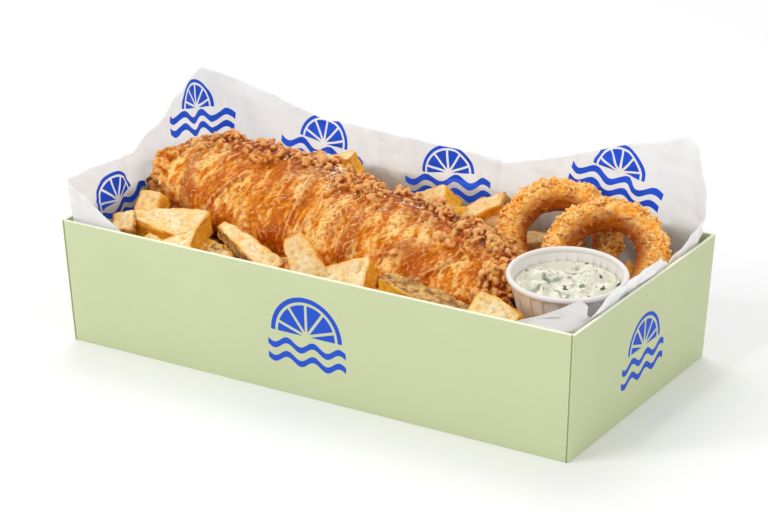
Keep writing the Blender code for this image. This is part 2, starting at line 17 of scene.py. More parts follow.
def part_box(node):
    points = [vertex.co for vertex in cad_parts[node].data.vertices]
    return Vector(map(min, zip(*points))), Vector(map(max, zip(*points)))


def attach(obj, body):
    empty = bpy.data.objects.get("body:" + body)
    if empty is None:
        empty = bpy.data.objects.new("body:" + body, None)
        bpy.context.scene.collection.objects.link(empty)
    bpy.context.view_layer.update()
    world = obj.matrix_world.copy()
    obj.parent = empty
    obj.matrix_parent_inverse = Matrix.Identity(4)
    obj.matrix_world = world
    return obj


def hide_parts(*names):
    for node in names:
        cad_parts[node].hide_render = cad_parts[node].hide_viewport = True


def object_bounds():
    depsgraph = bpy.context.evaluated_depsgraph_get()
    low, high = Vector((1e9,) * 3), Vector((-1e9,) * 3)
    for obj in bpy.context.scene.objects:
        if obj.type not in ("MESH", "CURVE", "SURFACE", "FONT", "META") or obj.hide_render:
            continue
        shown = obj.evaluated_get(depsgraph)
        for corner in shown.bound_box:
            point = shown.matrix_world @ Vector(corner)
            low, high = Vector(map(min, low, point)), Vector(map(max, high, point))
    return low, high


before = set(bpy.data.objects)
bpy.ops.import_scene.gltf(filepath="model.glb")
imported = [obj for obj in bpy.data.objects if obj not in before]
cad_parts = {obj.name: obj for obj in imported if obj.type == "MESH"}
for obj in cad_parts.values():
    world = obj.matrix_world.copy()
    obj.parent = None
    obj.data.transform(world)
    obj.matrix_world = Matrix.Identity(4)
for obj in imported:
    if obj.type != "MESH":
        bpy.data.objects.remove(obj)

MM = 0.001
cad_box = [list(corner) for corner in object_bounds()]
print("nodes:", sorted(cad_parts))

# %% [markdown]
# ## Small helpers
#
# An operator works on whatever is selected, so each step first says what that is. The helpers below
# select one piece, open it for editing, pick faces by their place or normal and apply a modifier.
# Others read or write a mesh's points as one array. A loop over the vertices would do the same, but
# an array is quick even for a hundred thousand points.

# %% Select, name, apply


def only(piece):
    """Back to object mode, with this piece alone selected and active."""
    if bpy.context.mode != "OBJECT":
        bpy.ops.object.mode_set(mode="OBJECT")
    bpy.ops.object.select_all(action="DESELECT")
    piece.select_set(True)
    bpy.context.view_layer.objects.active = piece


def named(name):
    """Name the primitive that was just added, and put its place and turn into its mesh."""
    piece = bpy.context.object
    piece.name = name
    piece.data.name = name
    only(piece)
    bpy.ops.object.transform_apply(location=True, rotation=True, scale=True)
    return piece


def edit(piece, action="SELECT", mode="FACE"):
    """Go to edit mode on this piece alone, with everything selected or nothing."""
    only(piece)
    bpy.ops.object.mode_set(mode="EDIT")
    bpy.ops.mesh.select_mode(type=mode)
    bpy.ops.mesh.select_all(action=action)


def shaped():
    """Leave edit mode."""
    bpy.ops.object.mode_set(mode="OBJECT")


def pick(piece, test):
    """Go to edit mode with only the faces selected whose centre and normal pass the test."""
    edit(piece, "DESELECT")
    shaped()
    for face in piece.data.polygons:
        face.select = bool(test(face.center, face.normal))
    bpy.ops.object.mode_set(mode="EDIT")


def turn_outwards():
    """Make every face of the mesh in edit mode look outwards, and leave edit mode."""
    bpy.ops.mesh.select_all(action="SELECT")
    bpy.ops.mesh.normals_make_consistent(inside=False)
    shaped()


def apply_modifier(piece, kind, **settings):
    modifier = piece.modifiers.new(kind.lower(), kind)
    for setting, value in settings.items():
        setattr(modifier, setting, value)
    only(piece)
    bpy.ops.object.modifier_apply(modifier=modifier.name)


def fuse(piece, voxel_mm, factor, rounds):
    """One closed skin round all that the piece holds, smoothed a little."""
    apply_modifier(piece, "REMESH", mode="VOXEL", voxel_size=voxel_mm * MM)
    apply_modifier(piece, "SMOOTH", factor=factor, iterations=rounds)


def mesh_piece(name, points, faces):
    """A new object from points in metres and faces."""
    mesh = bpy.data.meshes.new(name)
    mesh.from_pydata([tuple(point) for point in points], [], faces)
    piece = bpy.data.objects.new(name, mesh)
    bpy.context.scene.collection.objects.link(piece)
    return piece


def joined(name, pieces):
    """The pieces made one, under this name."""
    bpy.ops.object.select_all(action="DESELECT")
    for piece in pieces:
        piece.select_set(True)
    bpy.context.view_layer.objects.active = pieces[0]
    bpy.ops.object.join()
    pieces[0].name = name
    pieces[0].data.name = name
    return pieces[0]


# %% Points as arrays


def points_of(piece):
    flat = np.empty(3 * len(piece.data.vertices))
    piece.data.vertices.foreach_get("co", flat)
    return flat.reshape(-1, 3)


def normals_of(piece):
    flat = np.empty(3 * len(piece.data.vertices))
    piece.data.vertex_normals.foreach_get("vector", flat)
    return flat.reshape(-1, 3)


def set_points(piece, points):
    piece.data.vertices.foreach_set("co", np.ascontiguousarray(points).ravel())
    piece.data.update()


def swell(piece, height_mm):
    """Push each point out along its normal by its own height."""
    set_points(piece, points_of(piece) + normals_of(piece) * (np.asarray(height_mm) * MM)[:, None])


def keep_value(piece, name, values):
    """Store one number a point, for the material to read."""
    attribute = piece.data.attributes.new(name, "FLOAT", "POINT")
    attribute.data.foreach_set("value", np.asarray(values, np.float32))


# %% [markdown]
# ## Three kinds of unevenness
#
# Food is never smooth. A Displace modifier with a texture could roughen it, but here the same numbers
# shape the mesh and colour it, so they are worked out point by point. Soft noise gives dents and
# swellings, and lumps give round beads with clefts between them. The hollow measure says how far a
# point sits below its surroundings: the materials use it to paint shade into hollows and, on the crusts,
# highlights on bumps.

# %% Noise, lumps, hollows
BEAD_REACH = 0.62


def soft(points, size_mm, seed):
    """Smooth noise from about -1 to 1, with bumps about as wide as the size."""
    offset = np.array((seed * 17.3, seed * -9.1, seed * 5.7))
    return np.array([noise.noise(point) for point in (points / (size_mm * MM) + offset).tolist()])


def wander(points, size_mm, seed):
    """Three noises for each point: a soft push in every direction, which bends a pattern's lines."""
    return np.stack([soft(points, size_mm, seed + axis) for axis in range(3)], axis=1)


def cells(points, size_mm, seed):
    """Distances to the nearest and the second nearest of scattered centres, in cell sizes."""
    offset = np.array((seed * 3.7, seed * 11.9, seed * -6.3))
    scattered = (points / (size_mm * MM) + offset).tolist()
    return np.array([noise.voronoi(point)[0][:2] for point in scattered]).T


def lumps(points, size_mm, seed):
    """Round beads from 0 to 1, one around each scattered centre."""
    nearest, _ = cells(points, size_mm, seed)
    return np.clip(1.0 - (nearest / BEAD_REACH) ** 2, 0.0, 1.0)


def bump(value, centre, width):
    """1 at the centre, falling off smoothly to both sides."""
    return np.exp(-(((value - centre) / width) ** 2))


def ramp(value, low, high):
    """0 below low, 1 above high and smooth between them."""
    share = np.clip((value - low) / (high - low), 0.0, 1.0)
    return share * share * (3.0 - 2.0 * share)


def hollows(piece, rounds):
    """Depth in mm below the local average surface, negative on a bump."""
    ends = np.empty(2 * len(piece.data.edges), np.int64)
    piece.data.edges.foreach_get("vertices", ends)
    a, b = ends.reshape(-1, 2).T
    points = points_of(piece)
    count = np.maximum(np.bincount(np.concatenate((a, b)), minlength=len(points)), 1)
    mean = points.copy()
    for _ in range(rounds):
        for axis in range(3):
            column = mean[:, axis]
            total = np.bincount(a, column[b], len(points)) + np.bincount(b, column[a], len(points))
            mean[:, axis] = 0.5 * column + 0.5 * total / count
    return np.einsum("ij,ij->i", mean - points, normals_of(piece)) / MM


# %% [markdown]
# ## Strewing many small things
#
# Crumbs, salt and herbs are one small shape modelled once and copied many times, each copy turned and
# scaled at random. A particle system or geometry nodes could strew them too. Here the copies are plain
# mesh, joined into one piece, so that a remesh can fuse them with the crust they lie on.

# %% Strew copies


def strew(name, pattern, places, chance):
    """Join copies of a small piece: places are (point in metres, (size x, y, z) in mm, normal or None)."""
    base = points_of(pattern)
    faces = [tuple(face.vertices) for face in pattern.data.polygons]
    points, all_faces = [], []
    for point, size, normal in places:
        turn = Matrix.Rotation(chance.uniform(0, 2 * math.pi), 3, "Z")
        if normal is None:
            turn = Matrix.Rotation(chance.uniform(0, 2 * math.pi), 3, "X") @ turn
        else:
            turn = Vector((0, 0, 1)).rotation_difference(Vector(normal)).to_matrix() @ turn
        shift = len(points) * len(base)
        points.append(base * (np.array(size) * MM) @ np.array(turn).T + np.array(point))
        all_faces += [tuple(index + shift for index in face) for face in faces]
    return mesh_piece(name, np.concatenate(points), all_faces)


def small_lump(name, detail, rough, seed):
    """A rough little ball of radius 1, the start of a crumb or a flake."""
    bpy.ops.mesh.primitive_ico_sphere_add(subdivisions=detail, radius=1.0)
    lump = named(name)
    points = points_of(lump)
    set_points(lump, points * (1.0 + rough * soft(points * MM, 0.9, seed))[:, None])
    return lump


def surface_places(piece, wanted, chance, likely):
    """Random spots on a piece, more of them where likely is high, as (point, normal) pairs."""
    points, normals = points_of(piece), normals_of(piece)
    odds = np.clip(likely, 0.0, None)
    order = chance.choices(range(len(points)), weights=odds.tolist(), k=wanted)
    return [(points[i], normals[i]) for i in order]


# %% [markdown]
# ## Materials: colour and nodes
#
# Colours are written as sRGB hex, the way a colour picker shows them, and one function turns them to
# the linear values that shaders use. Nodes could be laid out by hand in the Shader Editor; one small
# function adds any of them here, with its settings and links. A pattern's scale is the number of its
# features in a metre, which one more function works out from their size in millimetres.

# %% Colour and node helpers


def colour(code):
    """sRGB hex to linear RGBA."""
    parts = [int(code[i : i + 2], 16) / 255 for i in (1, 3, 5)]
    linear = [p / 12.92 if p <= 0.04045 else ((p + 0.055) / 1.055) ** 2.4 for p in parts]
    return (*linear, 1.0)


def per_mm(size_mm):
    """The scale of a pattern whose features are this wide."""
    return 1.0 / (size_mm * MM)


def new_material(name, **inputs):
    """A material whose Principled BSDF has these values on its own sockets."""
    material = bpy.data.materials.new(name)
    material.use_nodes = True
    shader = material.node_tree.nodes["Principled BSDF"]
    for socket, value in inputs.items():
        shader.inputs[socket.replace("_", " ")].default_value = value
    return material, shader


def add(material, kind, inputs=None, output=0, **settings):
    """Add a node and return one of its outputs. An input is a value, or another node's output."""
    node = material.node_tree.nodes.new("ShaderNode" + kind)
    for setting, value in settings.items():
        setattr(node, setting, value)
    for socket, value in (inputs or {}).items():
        if isinstance(value, bpy.types.NodeSocket):
            material.node_tree.links.new(value, node.inputs[socket])
        else:
            node.inputs[socket].default_value = value
    return node.outputs[output]


def wire(material, shader, **sources):
    """Link outputs to the shader's sockets."""
    for socket, source in sources.items():
        material.node_tree.links.new(source, shader.inputs[socket.replace("_", " ")])


# A colour Mix node has its factor at socket 0, its two colours at 6 and 7 and its result at output 2.
# A Map Range node has its value at 0, the range it comes from at 1 and 2, and the new one at 3 and 4.
# Texture Coordinate's output 3 is the place on the piece, and Attribute's output 2 a stored number.


def finished(piece, material, slot, *nodes, angle=None):
    """Smooth shading, one material, a ride on the frame's body, and the solids it stands for."""
    only(piece)
    if angle is None:
        bpy.ops.object.shade_smooth()
    else:
        bpy.ops.object.shade_smooth_by_angle(angle=math.radians(angle))
    if not piece.data.materials:
        piece.data.materials.append(material)
    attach(piece, "root")
    if nodes:
        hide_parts(*nodes)
    piece.data.calc_loop_triangles()
    print(piece.name, len(piece.data.loop_triangles), "triangles")


# %% [markdown]
# ## Camera, light and floor
#
# A long lens from above the tray's right front corner keeps the walls nearly parallel. The light is
# that of a small product studio. A large soft box hangs overhead, a little behind the tray, a second
# stands in front on the left, and a weak one lights the right end. A pale room all round fills the
# shadows. A single sun would be simpler, but its hard shadow would make the crust look like rock.

# %% Camera
CAMERA_AZIMUTH = math.radians(31.2)
CAMERA_ELEVATION = math.radians(21.2)
CAMERA_DISTANCE = 1.4588
CAMERA_LENS = 127.5
SENSOR_WIDTH = 36.0
# The lens aims a little to the left of the model's middle, behind it and below it.
AIM_SHIFT = (-21.2, 37.2, -24.5)

low, high = (Vector(corner) for corner in cad_box)
aim = (low + high) / 2 + Vector(AIM_SHIFT) * MM
back = Vector((
    math.sin(CAMERA_AZIMUTH) * math.cos(CAMERA_ELEVATION),
    -math.cos(CAMERA_AZIMUTH) * math.cos(CAMERA_ELEVATION),
    math.sin(CAMERA_ELEVATION),
))
lens = bpy.data.cameras.new("camera")
lens.lens = CAMERA_LENS
lens.sensor_width = SENSOR_WIDTH
camera = bpy.data.objects.new("camera", lens)
camera.location = aim + back * CAMERA_DISTANCE
camera.rotation_euler = (math.pi / 2 - CAMERA_ELEVATION, 0.0, CAMERA_AZIMUTH)
bpy.context.scene.collection.objects.link(camera)
bpy.context.scene.camera = camera
print("camera at", [round(value, 4) for value in camera.location])

# %% Lights and floor
LIGHT_TARGET = Vector((0, 0, 0.05))
ROOM_BRIGHTNESS = 0.64
FLOOR_SIZE = 8.0


def softbox(name, place, size, watts):
    """A square area light that looks at the middle of the tray."""
    light = bpy.data.lights.new(name, "AREA")
    light.size = size
    light.energy = watts
    lamp = bpy.data.objects.new(name, light)
    lamp.location = place
    lamp.rotation_euler = (LIGHT_TARGET - Vector(place)).to_track_quat("-Z", "Y").to_euler()
    bpy.context.scene.collection.objects.link(lamp)


softbox("overhead_softbox", (-0.5, 0.7, 1.45), 1.0, 8.3)
softbox("front_softbox", (-0.95, -1.25, 0.95), 0.45, 8.4)
softbox("right_softbox", (1.3, -0.3, 0.9), 0.8, 4.0)
# A small bright source makes the oily crusts sparkle.
softbox("glint_lamp", (-0.15, -0.75, 1.25), 0.12, 1.9)

world = bpy.data.worlds.new("studio")
world.use_nodes = True
room = world.node_tree.nodes["Background"]
room.inputs["Color"].default_value = colour("#FFFFFF")
room.inputs["Strength"].default_value = ROOM_BRIGHTNESS
bpy.context.scene.world = world
bpy.context.scene.view_settings.view_transform = "Standard"

bpy.ops.mesh.primitive_plane_add(size=FLOOR_SIZE, location=(0, 0, 0))
floor = named("floor")
floor_paint, _ = new_material("matte white floor", Base_Color=colour("#F6F6F6"), Roughness=0.9)
floor.data.materials.append(floor_paint)

# %% [markdown]
# ## Print
#
# Tray and liner carry a plain blue print: half slices of lemon and short wavy ribbons. An image could
# hold them, but here both are worked out in the material from distances, so their edges stay sharp at
# any zoom. A half slice is a half disc with a pale ring inside its rind and pale lines between its
# segments, which stand 36 degrees apart.

# %% Print helpers
PRINT_BLUE = colour("#1C4FCB")
FLESH_SHARE = 0.84
HALF_SEGMENT = math.pi / 10
WAVE_SHARE = 0.55


def half_slice(paint, x, y, radius_mm, thin_mm):
    """1 inside the blue of a lemon half slice that stands on y = 0, else 0."""
    radius = radius_mm * MM
    flesh = radius * FLESH_SHARE
    square_x = add(paint, "Math", {0: x, 1: x}, operation="MULTIPLY")
    reach = add(paint, "Math", {0: y, 1: y, 2: square_x}, operation="MULTIPLY_ADD")
    reach = add(paint, "Math", {0: reach}, operation="SQRT")
    inside = add(paint, "Math", {0: reach, 1: radius}, operation="LESS_THAN")
    above = add(paint, "Math", {0: y, 1: 0.0}, operation="GREATER_THAN")
    pith = add(paint, "Math", {0: reach, 1: flesh, 2: thin_mm * MM}, operation="COMPARE")
    turn = add(paint, "Math", {0: y, 1: x}, operation="ARCTAN2")
    turn = add(paint, "Math", {0: turn, 1: HALF_SEGMENT}, operation="PINGPONG")
    turn = add(paint, "Math", {0: HALF_SEGMENT, 1: turn}, operation="SUBTRACT")
    spoke = add(paint, "Math", {0: turn, 1: reach}, operation="MULTIPLY")
    spoke = add(paint, "Math", {0: spoke, 1: thin_mm * MM}, operation="LESS_THAN")
    in_flesh = add(paint, "Math", {0: reach, 1: flesh}, operation="LESS_THAN")
    spoke = add(paint, "Math", {0: spoke, 1: in_flesh}, operation="MULTIPLY")
    pale = add(paint, "Math", {0: pith, 1: spoke}, operation="MAXIMUM")
    inked = add(paint, "Math", {0: inside, 1: pale}, operation="SUBTRACT")
    return add(paint, "Math", {0: inked, 1: above}, operation="MULTIPLY", use_clamp=True)


def wave_ribbon(paint, x, y, half_length_mm, wave_mm, thick_mm):
    """1 inside a short wavy ribbon around y = 0, else 0."""
    phase = add(paint, "Math", {0: x, 1: 2 * math.pi / (wave_mm * MM)}, operation="MULTIPLY")
    wave = add(paint, "Math", {0: phase}, operation="SINE")
    offset = add(paint, "Math", {0: wave, 1: -WAVE_SHARE * thick_mm * MM, 2: y}, operation="MULTIPLY_ADD")
    offset = add(paint, "Math", {0: offset}, operation="ABSOLUTE")
    inside = add(paint, "Math", {0: offset, 1: thick_mm / 2 * MM}, operation="LESS_THAN")
    along = add(paint, "Math", {0: x}, operation="ABSOLUTE")
    along = add(paint, "Math", {0: along, 1: half_length_mm * MM}, operation="LESS_THAN")
    return add(paint, "Math", {0: inside, 1: along}, operation="MULTIPLY")


# %% [markdown]
# ## The card tray
#
# The tray is one sheet of coated card, folded up into four leaning walls that are doubled over at the
# rim. Planes with a Solidify modifier could stand for the walls, but they would leave gaps at the
# corners. So it is made as a box modeller would: a cube at the tray's size, its foot drawn in, its top
# inset by the wall's thickness and pushed down to the floor, and the folds rounded by a small bevel.
# A narrow groove near each corner is the gap where the end wall's folded edge meets the long wall.

# %% Tray shape
TRAY_HEIGHT = round(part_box("tray")[1].z / MM, 1)
WALL_THICKNESS = 1.6
FLOOR_THICKNESS = 1.2
WALL_FLARE = 3.0
FOLD_RADIUS = 0.5
SLIT_START = 0.7
SLIT_WIDTH = 0.8


def wall_lean(z):
    """How far in from its rim the leaning wall stands at a height, both in mm."""
    return WALL_FLARE * (1.0 - z / TRAY_HEIGHT)


def cut_slits(tray, high, lean):
    """Two leaning cuts near each corner mark a strip, which is then pushed in."""
    for side in (-1, 1):
        for start in (SLIT_START, SLIT_START + SLIT_WIDTH):
            edit(tray)
            edge = (side * (high.x - start * MM), 0, high.z)
            bpy.ops.mesh.bisect(plane_co=edge, plane_no=(side, 0, -lean))
            shaped()

    def in_strip(centre, normal):
        corner = high.x - lean * (high.z - centre.z)
        depth = (corner - abs(centre.x)) / MM
        return SLIT_START < depth < SLIT_START + SLIT_WIDTH and centre.y * normal.y > 0.5 * abs(centre.y)

    for side in (-1, 1):
        pick(tray, lambda centre, normal: in_strip(centre, normal) and centre.y * side > 0)
        bpy.ops.mesh.extrude_region_move(TRANSFORM_OT_translate={"value": (0, -side * SLIT_WIDTH * MM, 0)})
        shaped()


def make_tray():
    """The folded tray, from a cube."""
    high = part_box("tray")[1]
    flare = WALL_FLARE * MM
    drawn_in = (1 - flare / high.x, 1 - flare / high.y, 1)
    size = (2 * high.x, 2 * high.y, high.z)
    bpy.ops.mesh.primitive_cube_add(size=1, location=(0, 0, high.z / 2), scale=size)
    tray = named("card_tray")
    pick(tray, lambda centre, normal: normal.z < -0.9)
    bpy.ops.transform.resize(value=drawn_in)
    pick(tray, lambda centre, normal: normal.z > 0.9)
    bpy.ops.mesh.inset(thickness=WALL_THICKNESS * MM)
    bpy.ops.mesh.extrude_region_move(TRANSFORM_OT_translate={"value": (0, 0, FLOOR_THICKNESS * MM - high.z)})
    bpy.ops.transform.resize(value=drawn_in)
    bpy.ops.mesh.select_all(action="DESELECT")
    bpy.ops.mesh.select_mode(type="EDGE")
    bpy.ops.mesh.edges_select_sharp(sharpness=math.radians(40))
    bpy.ops.mesh.bevel(offset=FOLD_RADIUS * MM, segments=3, affect="EDGES")
    shaped()
    cut_slits(tray, high, flare / high.z)
    return tray


def bow_walls(tray, high):
    """Card is never quite flat: each wall swells and wavers by a few tenths of a millimetre."""
    points = points_of(tray)
    for axis, along in ((0, 1), (1, 0)):
        half = high[axis]
        away = ramp(abs(points[:, axis]) / half, 0.9, 0.97) * np.sign(points[:, axis])
        calm = 1.0 - np.clip(abs(points[:, along]) / high[along], 0, 1) ** 6
        flat = points.copy()
        flat[:, axis] = np.sign(points[:, axis]) * 0.2
        lift = np.sin(np.clip(points[:, 2] / high.z, 0, 1) * math.pi * 0.8)
        waver = 0.45 * soft(flat, 75.0, 3) + 0.25
        points[:, axis] += away * calm * lift * waver * MM
    set_points(tray, points)


tray = make_tray()
apply_modifier(tray, "SUBSURF", subdivision_type="SIMPLE", levels=3, render_levels=3)
bow_walls(tray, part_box("tray")[1])

# %% [markdown]
# ### Coated card
#
# Folding boxboard, printed sage green in the press and varnished: matt with a faint sheen and a very
# fine grain along the sheet. The last millimetre below the rim is painted pale, a painted highlight on
# the rounded fold. One plain colour would look like plastic, so two greens drift into each other and the
# grain lies on top.

# %% Coated card material
# For the long walls and the ends: radius and foot of the half slice, half length and height of the
# upper ribbon.
TRAY_MARKS = ((21.0, 34.0, 23.0, 27.5), (17.5, 34.0, 23.0, 28.0))
TRAY_RIBBON_GAP = 7.5
TRAY_WAVE = 15.5
TRAY_RIBBON = 3.4
ENDS_FROM = 100.0


def tray_print(card, x, y, z):
    """A half slice over two ribbons on the long walls, and a smaller mark on the ends."""
    marks = []
    for along, (slice_mm, foot_mm, ribbon_mm, ribbon_z) in zip((x, y), TRAY_MARKS):
        up = add(card, "Math", {0: z, 1: foot_mm * MM}, operation="SUBTRACT")
        mark = half_slice(card, along, up, slice_mm, 0.75)
        for row in range(2):
            height = (ribbon_z - TRAY_RIBBON_GAP * row) * MM
            drop = add(card, "Math", {0: z, 1: height}, operation="SUBTRACT")
            ribbon = wave_ribbon(card, along, drop, ribbon_mm, TRAY_WAVE, TRAY_RIBBON)
            mark = add(card, "Math", {0: mark, 1: ribbon}, operation="MAXIMUM")
        marks.append(mark)
    on_end = add(card, "Math", {0: x}, operation="ABSOLUTE")
    on_end = add(card, "Math", {0: on_end, 1: ENDS_FROM * MM}, operation="GREATER_THAN")
    return add(card, "Mix", {0: on_end, 2: marks[0], 3: marks[1]})


def card_material(printed):
    name = "coated boxboard, printed" if printed else "coated boxboard, inside"
    card, shader = new_material(name, Roughness=0.62, IOR=1.45, Specular_IOR_Level=0.35)
    place = add(card, "TexCoord", output=3)
    x = add(card, "SeparateXYZ", {0: place})
    y, z = x.node.outputs[1], x.node.outputs[2]
    # Card fibres lie along the tray. Real ones, 0.03 mm across, are too fine to show: these have 0.5 mm.
    fibre_scale = (per_mm(5.88), per_mm(5.88), per_mm(0.5))
    fibres = add(card, "Mapping", {"Vector": place, "Scale": fibre_scale})
    grain = add(card, "TexNoise", {"Vector": fibres, "Scale": 1.0, "Detail": 3.0})
    cloud = add(card, "TexNoise", {"Vector": place, "Scale": per_mm(45.45), "Detail": 2.0})
    shade = add(card, "Mix", {0: cloud, 6: colour("#C7CFA4"), 7: colour("#CDD5AC")}, 2, data_type="RGBA")
    fine = add(card, "MapRange", {0: grain, 1: 0.3, 2: 0.7, 3: 0.0, 4: 0.16})
    shade = add(card, "Mix", {0: fine, 6: shade, 7: colour("#BCC595")}, 2, data_type="RGBA")
    # The fold at the rim: the last millimetre is painted pale, a painted highlight where the rounded fold
    # catches the light.
    rim = add(card, "MapRange", {0: z, 1: (TRAY_HEIGHT - 0.8) * MM, 2: (TRAY_HEIGHT - 0.2) * MM})
    shade = add(card, "Mix", {0: rim, 6: shade, 7: colour("#F2F4DC")}, 2, data_type="RGBA")
    if printed:
        mask = tray_print(card, x, y, z)
        shade = add(card, "Mix", {0: mask, 6: shade, 7: PRINT_BLUE}, 2, data_type="RGBA")
    relief = add(card, "Bump", {"Height": grain, "Distance": 0.05 * MM, "Strength": 0.4})
    wire(card, shader, Base_Color=shade, Normal=relief)
    return card


def paint_tray(tray):
    """The printed face outside, the plain face on all else."""
    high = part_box("tray")[1]
    tray.data.materials.append(card_material(False))
    tray.data.materials.append(card_material(True))
    for face in tray.data.polygons:
        skin = (wall_lean(face.center.z / MM) + 0.7) * MM
        outer = abs(face.center.x) > high.x - skin or abs(face.center.y) > high.y - skin
        face.material_index = int(outer and abs(face.normal.z) < 0.5)


paint_tray(tray)
finished(tray, None, "green_card", "tray", angle=30)

# %% [markdown]
# ## The greaseproof liner
#
# One crumpled sheet, pressed into the tray and torn off above the rim. A cloth simulation could crumple
# it, but nobody could say where its corners end. So a flat grid is wrapped round the tray: its length
# runs once round the walls and its height from the floor to the torn edge. The stations say where the
# sheet passes the rim and where its edge ends, and what lies between them is interpolated, so a high
# corner or a folded flap needs only a few of them.

# %% Liner outline
FRONT, BACK, END = -76.0, 76.0, 147.3
LINER_STATIONS = (
    # rim x, rim y, edge x, edge y, edge z: the front left corner fold, sinking behind the front wall
    (-END, -72.0, -150.5, -72.0, 88.0),
    (-145.4, -75.4, -148.5, -75.5, 90.0),
    (-136.0, FRONT, -136.0, -76.3, 82.8),
    (-126.5, FRONT, -126.5, -76.3, 76.2),
    (-117.0, FRONT, -117.0, -76.2, 68.5),
    (-108.0, FRONT, -108.0, FRONT, 62.0),
    (108.0, FRONT, 108.0, FRONT, 61.0),
    # the front right flap, leaning in towards the pot
    (121.0, FRONT, 121.5, -75.6, 67.6),
    (131.0, FRONT, 132.0, -60.5, 71.2),
    (140.5, -75.2, 138.5, -49.5, 73.0),
    (144.6, -72.0, 143.5, -51.5, 72.0),
    (146.6, -66.0, 145.6, -57.5, 70.0),
    # the right end, with a torn notch
    (END, -57.0, 147.6, -57.0, 68.6),
    (END, -45.6, 149.2, -45.6, 74.0),
    (END, -4.0, 149.4, -4.0, 75.8),
    (END, 11.8, 149.2, 11.8, 76.7),
    (END, 20.0, 148.2, 20.0, 72.0),
    (END, 28.0, END, 28.0, 67.8),
    (END, 45.5, 148.2, 45.5, 71.8),
    (END, 62.0, 150.2, 66.5, 82.5),
    # the back right peak and the long back edge
    (144.6, 70.6, 147.5, 73.5, 95.0),
    (138.5, 75.4, 140.0, 79.0, 108.0),
    (131.0, BACK, 132.5, 80.5, 117.0),
    (98.0, BACK, 99.0, 79.5, 107.0),
    (62.0, BACK, 62.5, 79.0, 94.5),
    (46.0, BACK, 46.0, 78.5, 89.2),
    (29.0, BACK, 29.0, 78.0, 85.2),
    (-14.0, BACK, -14.0, 78.5, 87.6),
    (-52.0, BACK, -52.0, 79.0, 88.2),
    (-91.0, BACK, -91.0, 79.5, 89.0),
    (-114.0, BACK, -115.0, 79.5, 95.6),
    # the back left peak and the left end
    (-137.0, BACK, -141.0, 79.0, 102.0),
    (-143.6, 71.8, -150.0, 71.0, 107.5),
    (-END, 63.0, -157.0, 60.0, 113.5),
    (-END, 38.0, -155.0, 38.0, 106.6),
    (-END, 17.0, -153.0, 16.5, 97.6),
    (-END, -14.0, -149.8, -15.0, 86.4),
    (-END, -45.0, -150.0, -45.0, 87.6),
)
# One print each: along the sheet, height and turn, in mm and degrees.
LINER_PRINTS = (
    (345, 40, 8),
    (492, 91, -9),
    (592, 73, 6),
    (672, 76, -7),
    (752, 93, -12),
    (838, 66, 12),
    (200, 35, -10),
    (100, 40, 6),
    (420, 34, 10),
)
LINER_FLOOR = 1.6
LINER_SHOULDER = 66.0
LINER_THICKNESS = 0.16
LINER_COLUMNS = 420
LINER_ROWS = 56
# Food keeps inside these half measures of the liner, taken at the rim.
LINER_INNER = (144.6, 73.4)

# %% Liner sheet
# Noise read at points that are squeezed in height comes out as upright folds.
UPRIGHT = (1.0, 1.0, 0.35)


def tray_share(z, axis):
    """How wide the leaning tray is at a height, as a share of its width at the rim."""
    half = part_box("tray")[1][axis] / MM
    return 1.0 - wall_lean(z) / half


def crumple(points):
    """Broad swellings, soft folds that run mostly upwards, and a few sharper creases, in mm."""
    folds = abs(soft(points * UPRIGHT, 24.0, 21))
    pleats = abs(soft(points * (1.0, 1.0, 0.16), 13.0, 25))
    creases = abs(soft(points, 11.0, 22))
    nearest, second = cells(points, 34.0, 5)
    facets = np.clip(second - nearest, 0.0, 0.5)
    small = 0.3 * soft(points, 6.0, 24)
    broad = 1.2 * soft(points, 40.0, 3) + 3.4 * (folds - 0.2) + 2.4 * (facets - 0.2)
    return broad + 2.2 * (pleats - 0.2) - 1.5 * (creases - 0.2) + small


def painted_facet_shades(points):
    """Painted shade from 0 to 1 for each flat facet of the crumpled sheet, as if it leaned away from the
    light: upright patches about 16 mm wide.
    """
    bent = points + 2.5 * MM * wander(points, 15.0, 26)
    scattered = bent * UPRIGHT / (16.0 * MM)
    centres = np.array([noise.voronoi(point)[1][0] for point in scattered.tolist()])
    # Any uneven sum of a facet's centre will do, as long as neighbours get different painted shades.
    return (centres @ np.array((12.9, 78.2, 37.7))) % 1.0


def lay_prints(liner, along, z):
    """The UV map: each face measures, in metres, from the print nearest to it."""
    corners = np.empty(len(liner.data.loops), np.int64)
    liner.data.loops.foreach_get("vertex_index", corners)
    flat = np.stack((along, z), axis=1)[corners].reshape(-1, 4, 2)
    prints = np.array(LINER_PRINTS, float)
    gaps = np.linalg.norm(flat.mean(axis=1)[:, None, :] - prints[None, :, :2], axis=2)
    nearest = prints[gaps.argmin(axis=1)]
    offset = flat - nearest[:, None, :2]
    turn = np.radians(nearest[:, 2])[:, None]
    # The walk round the tray runs from right to left along the back wall, so x is turned round.
    x = -offset[:, :, 0] * np.cos(turn) + offset[:, :, 1] * np.sin(turn)
    y = offset[:, :, 0] * np.sin(turn) + offset[:, :, 1] * np.cos(turn)
    lay = liner.data.uv_layers.active or liner.data.uv_layers.new(name="sheet")
    lay.data.foreach_set("uv", (np.stack((x, y), axis=2) * MM).ravel())


# %% Liner put together


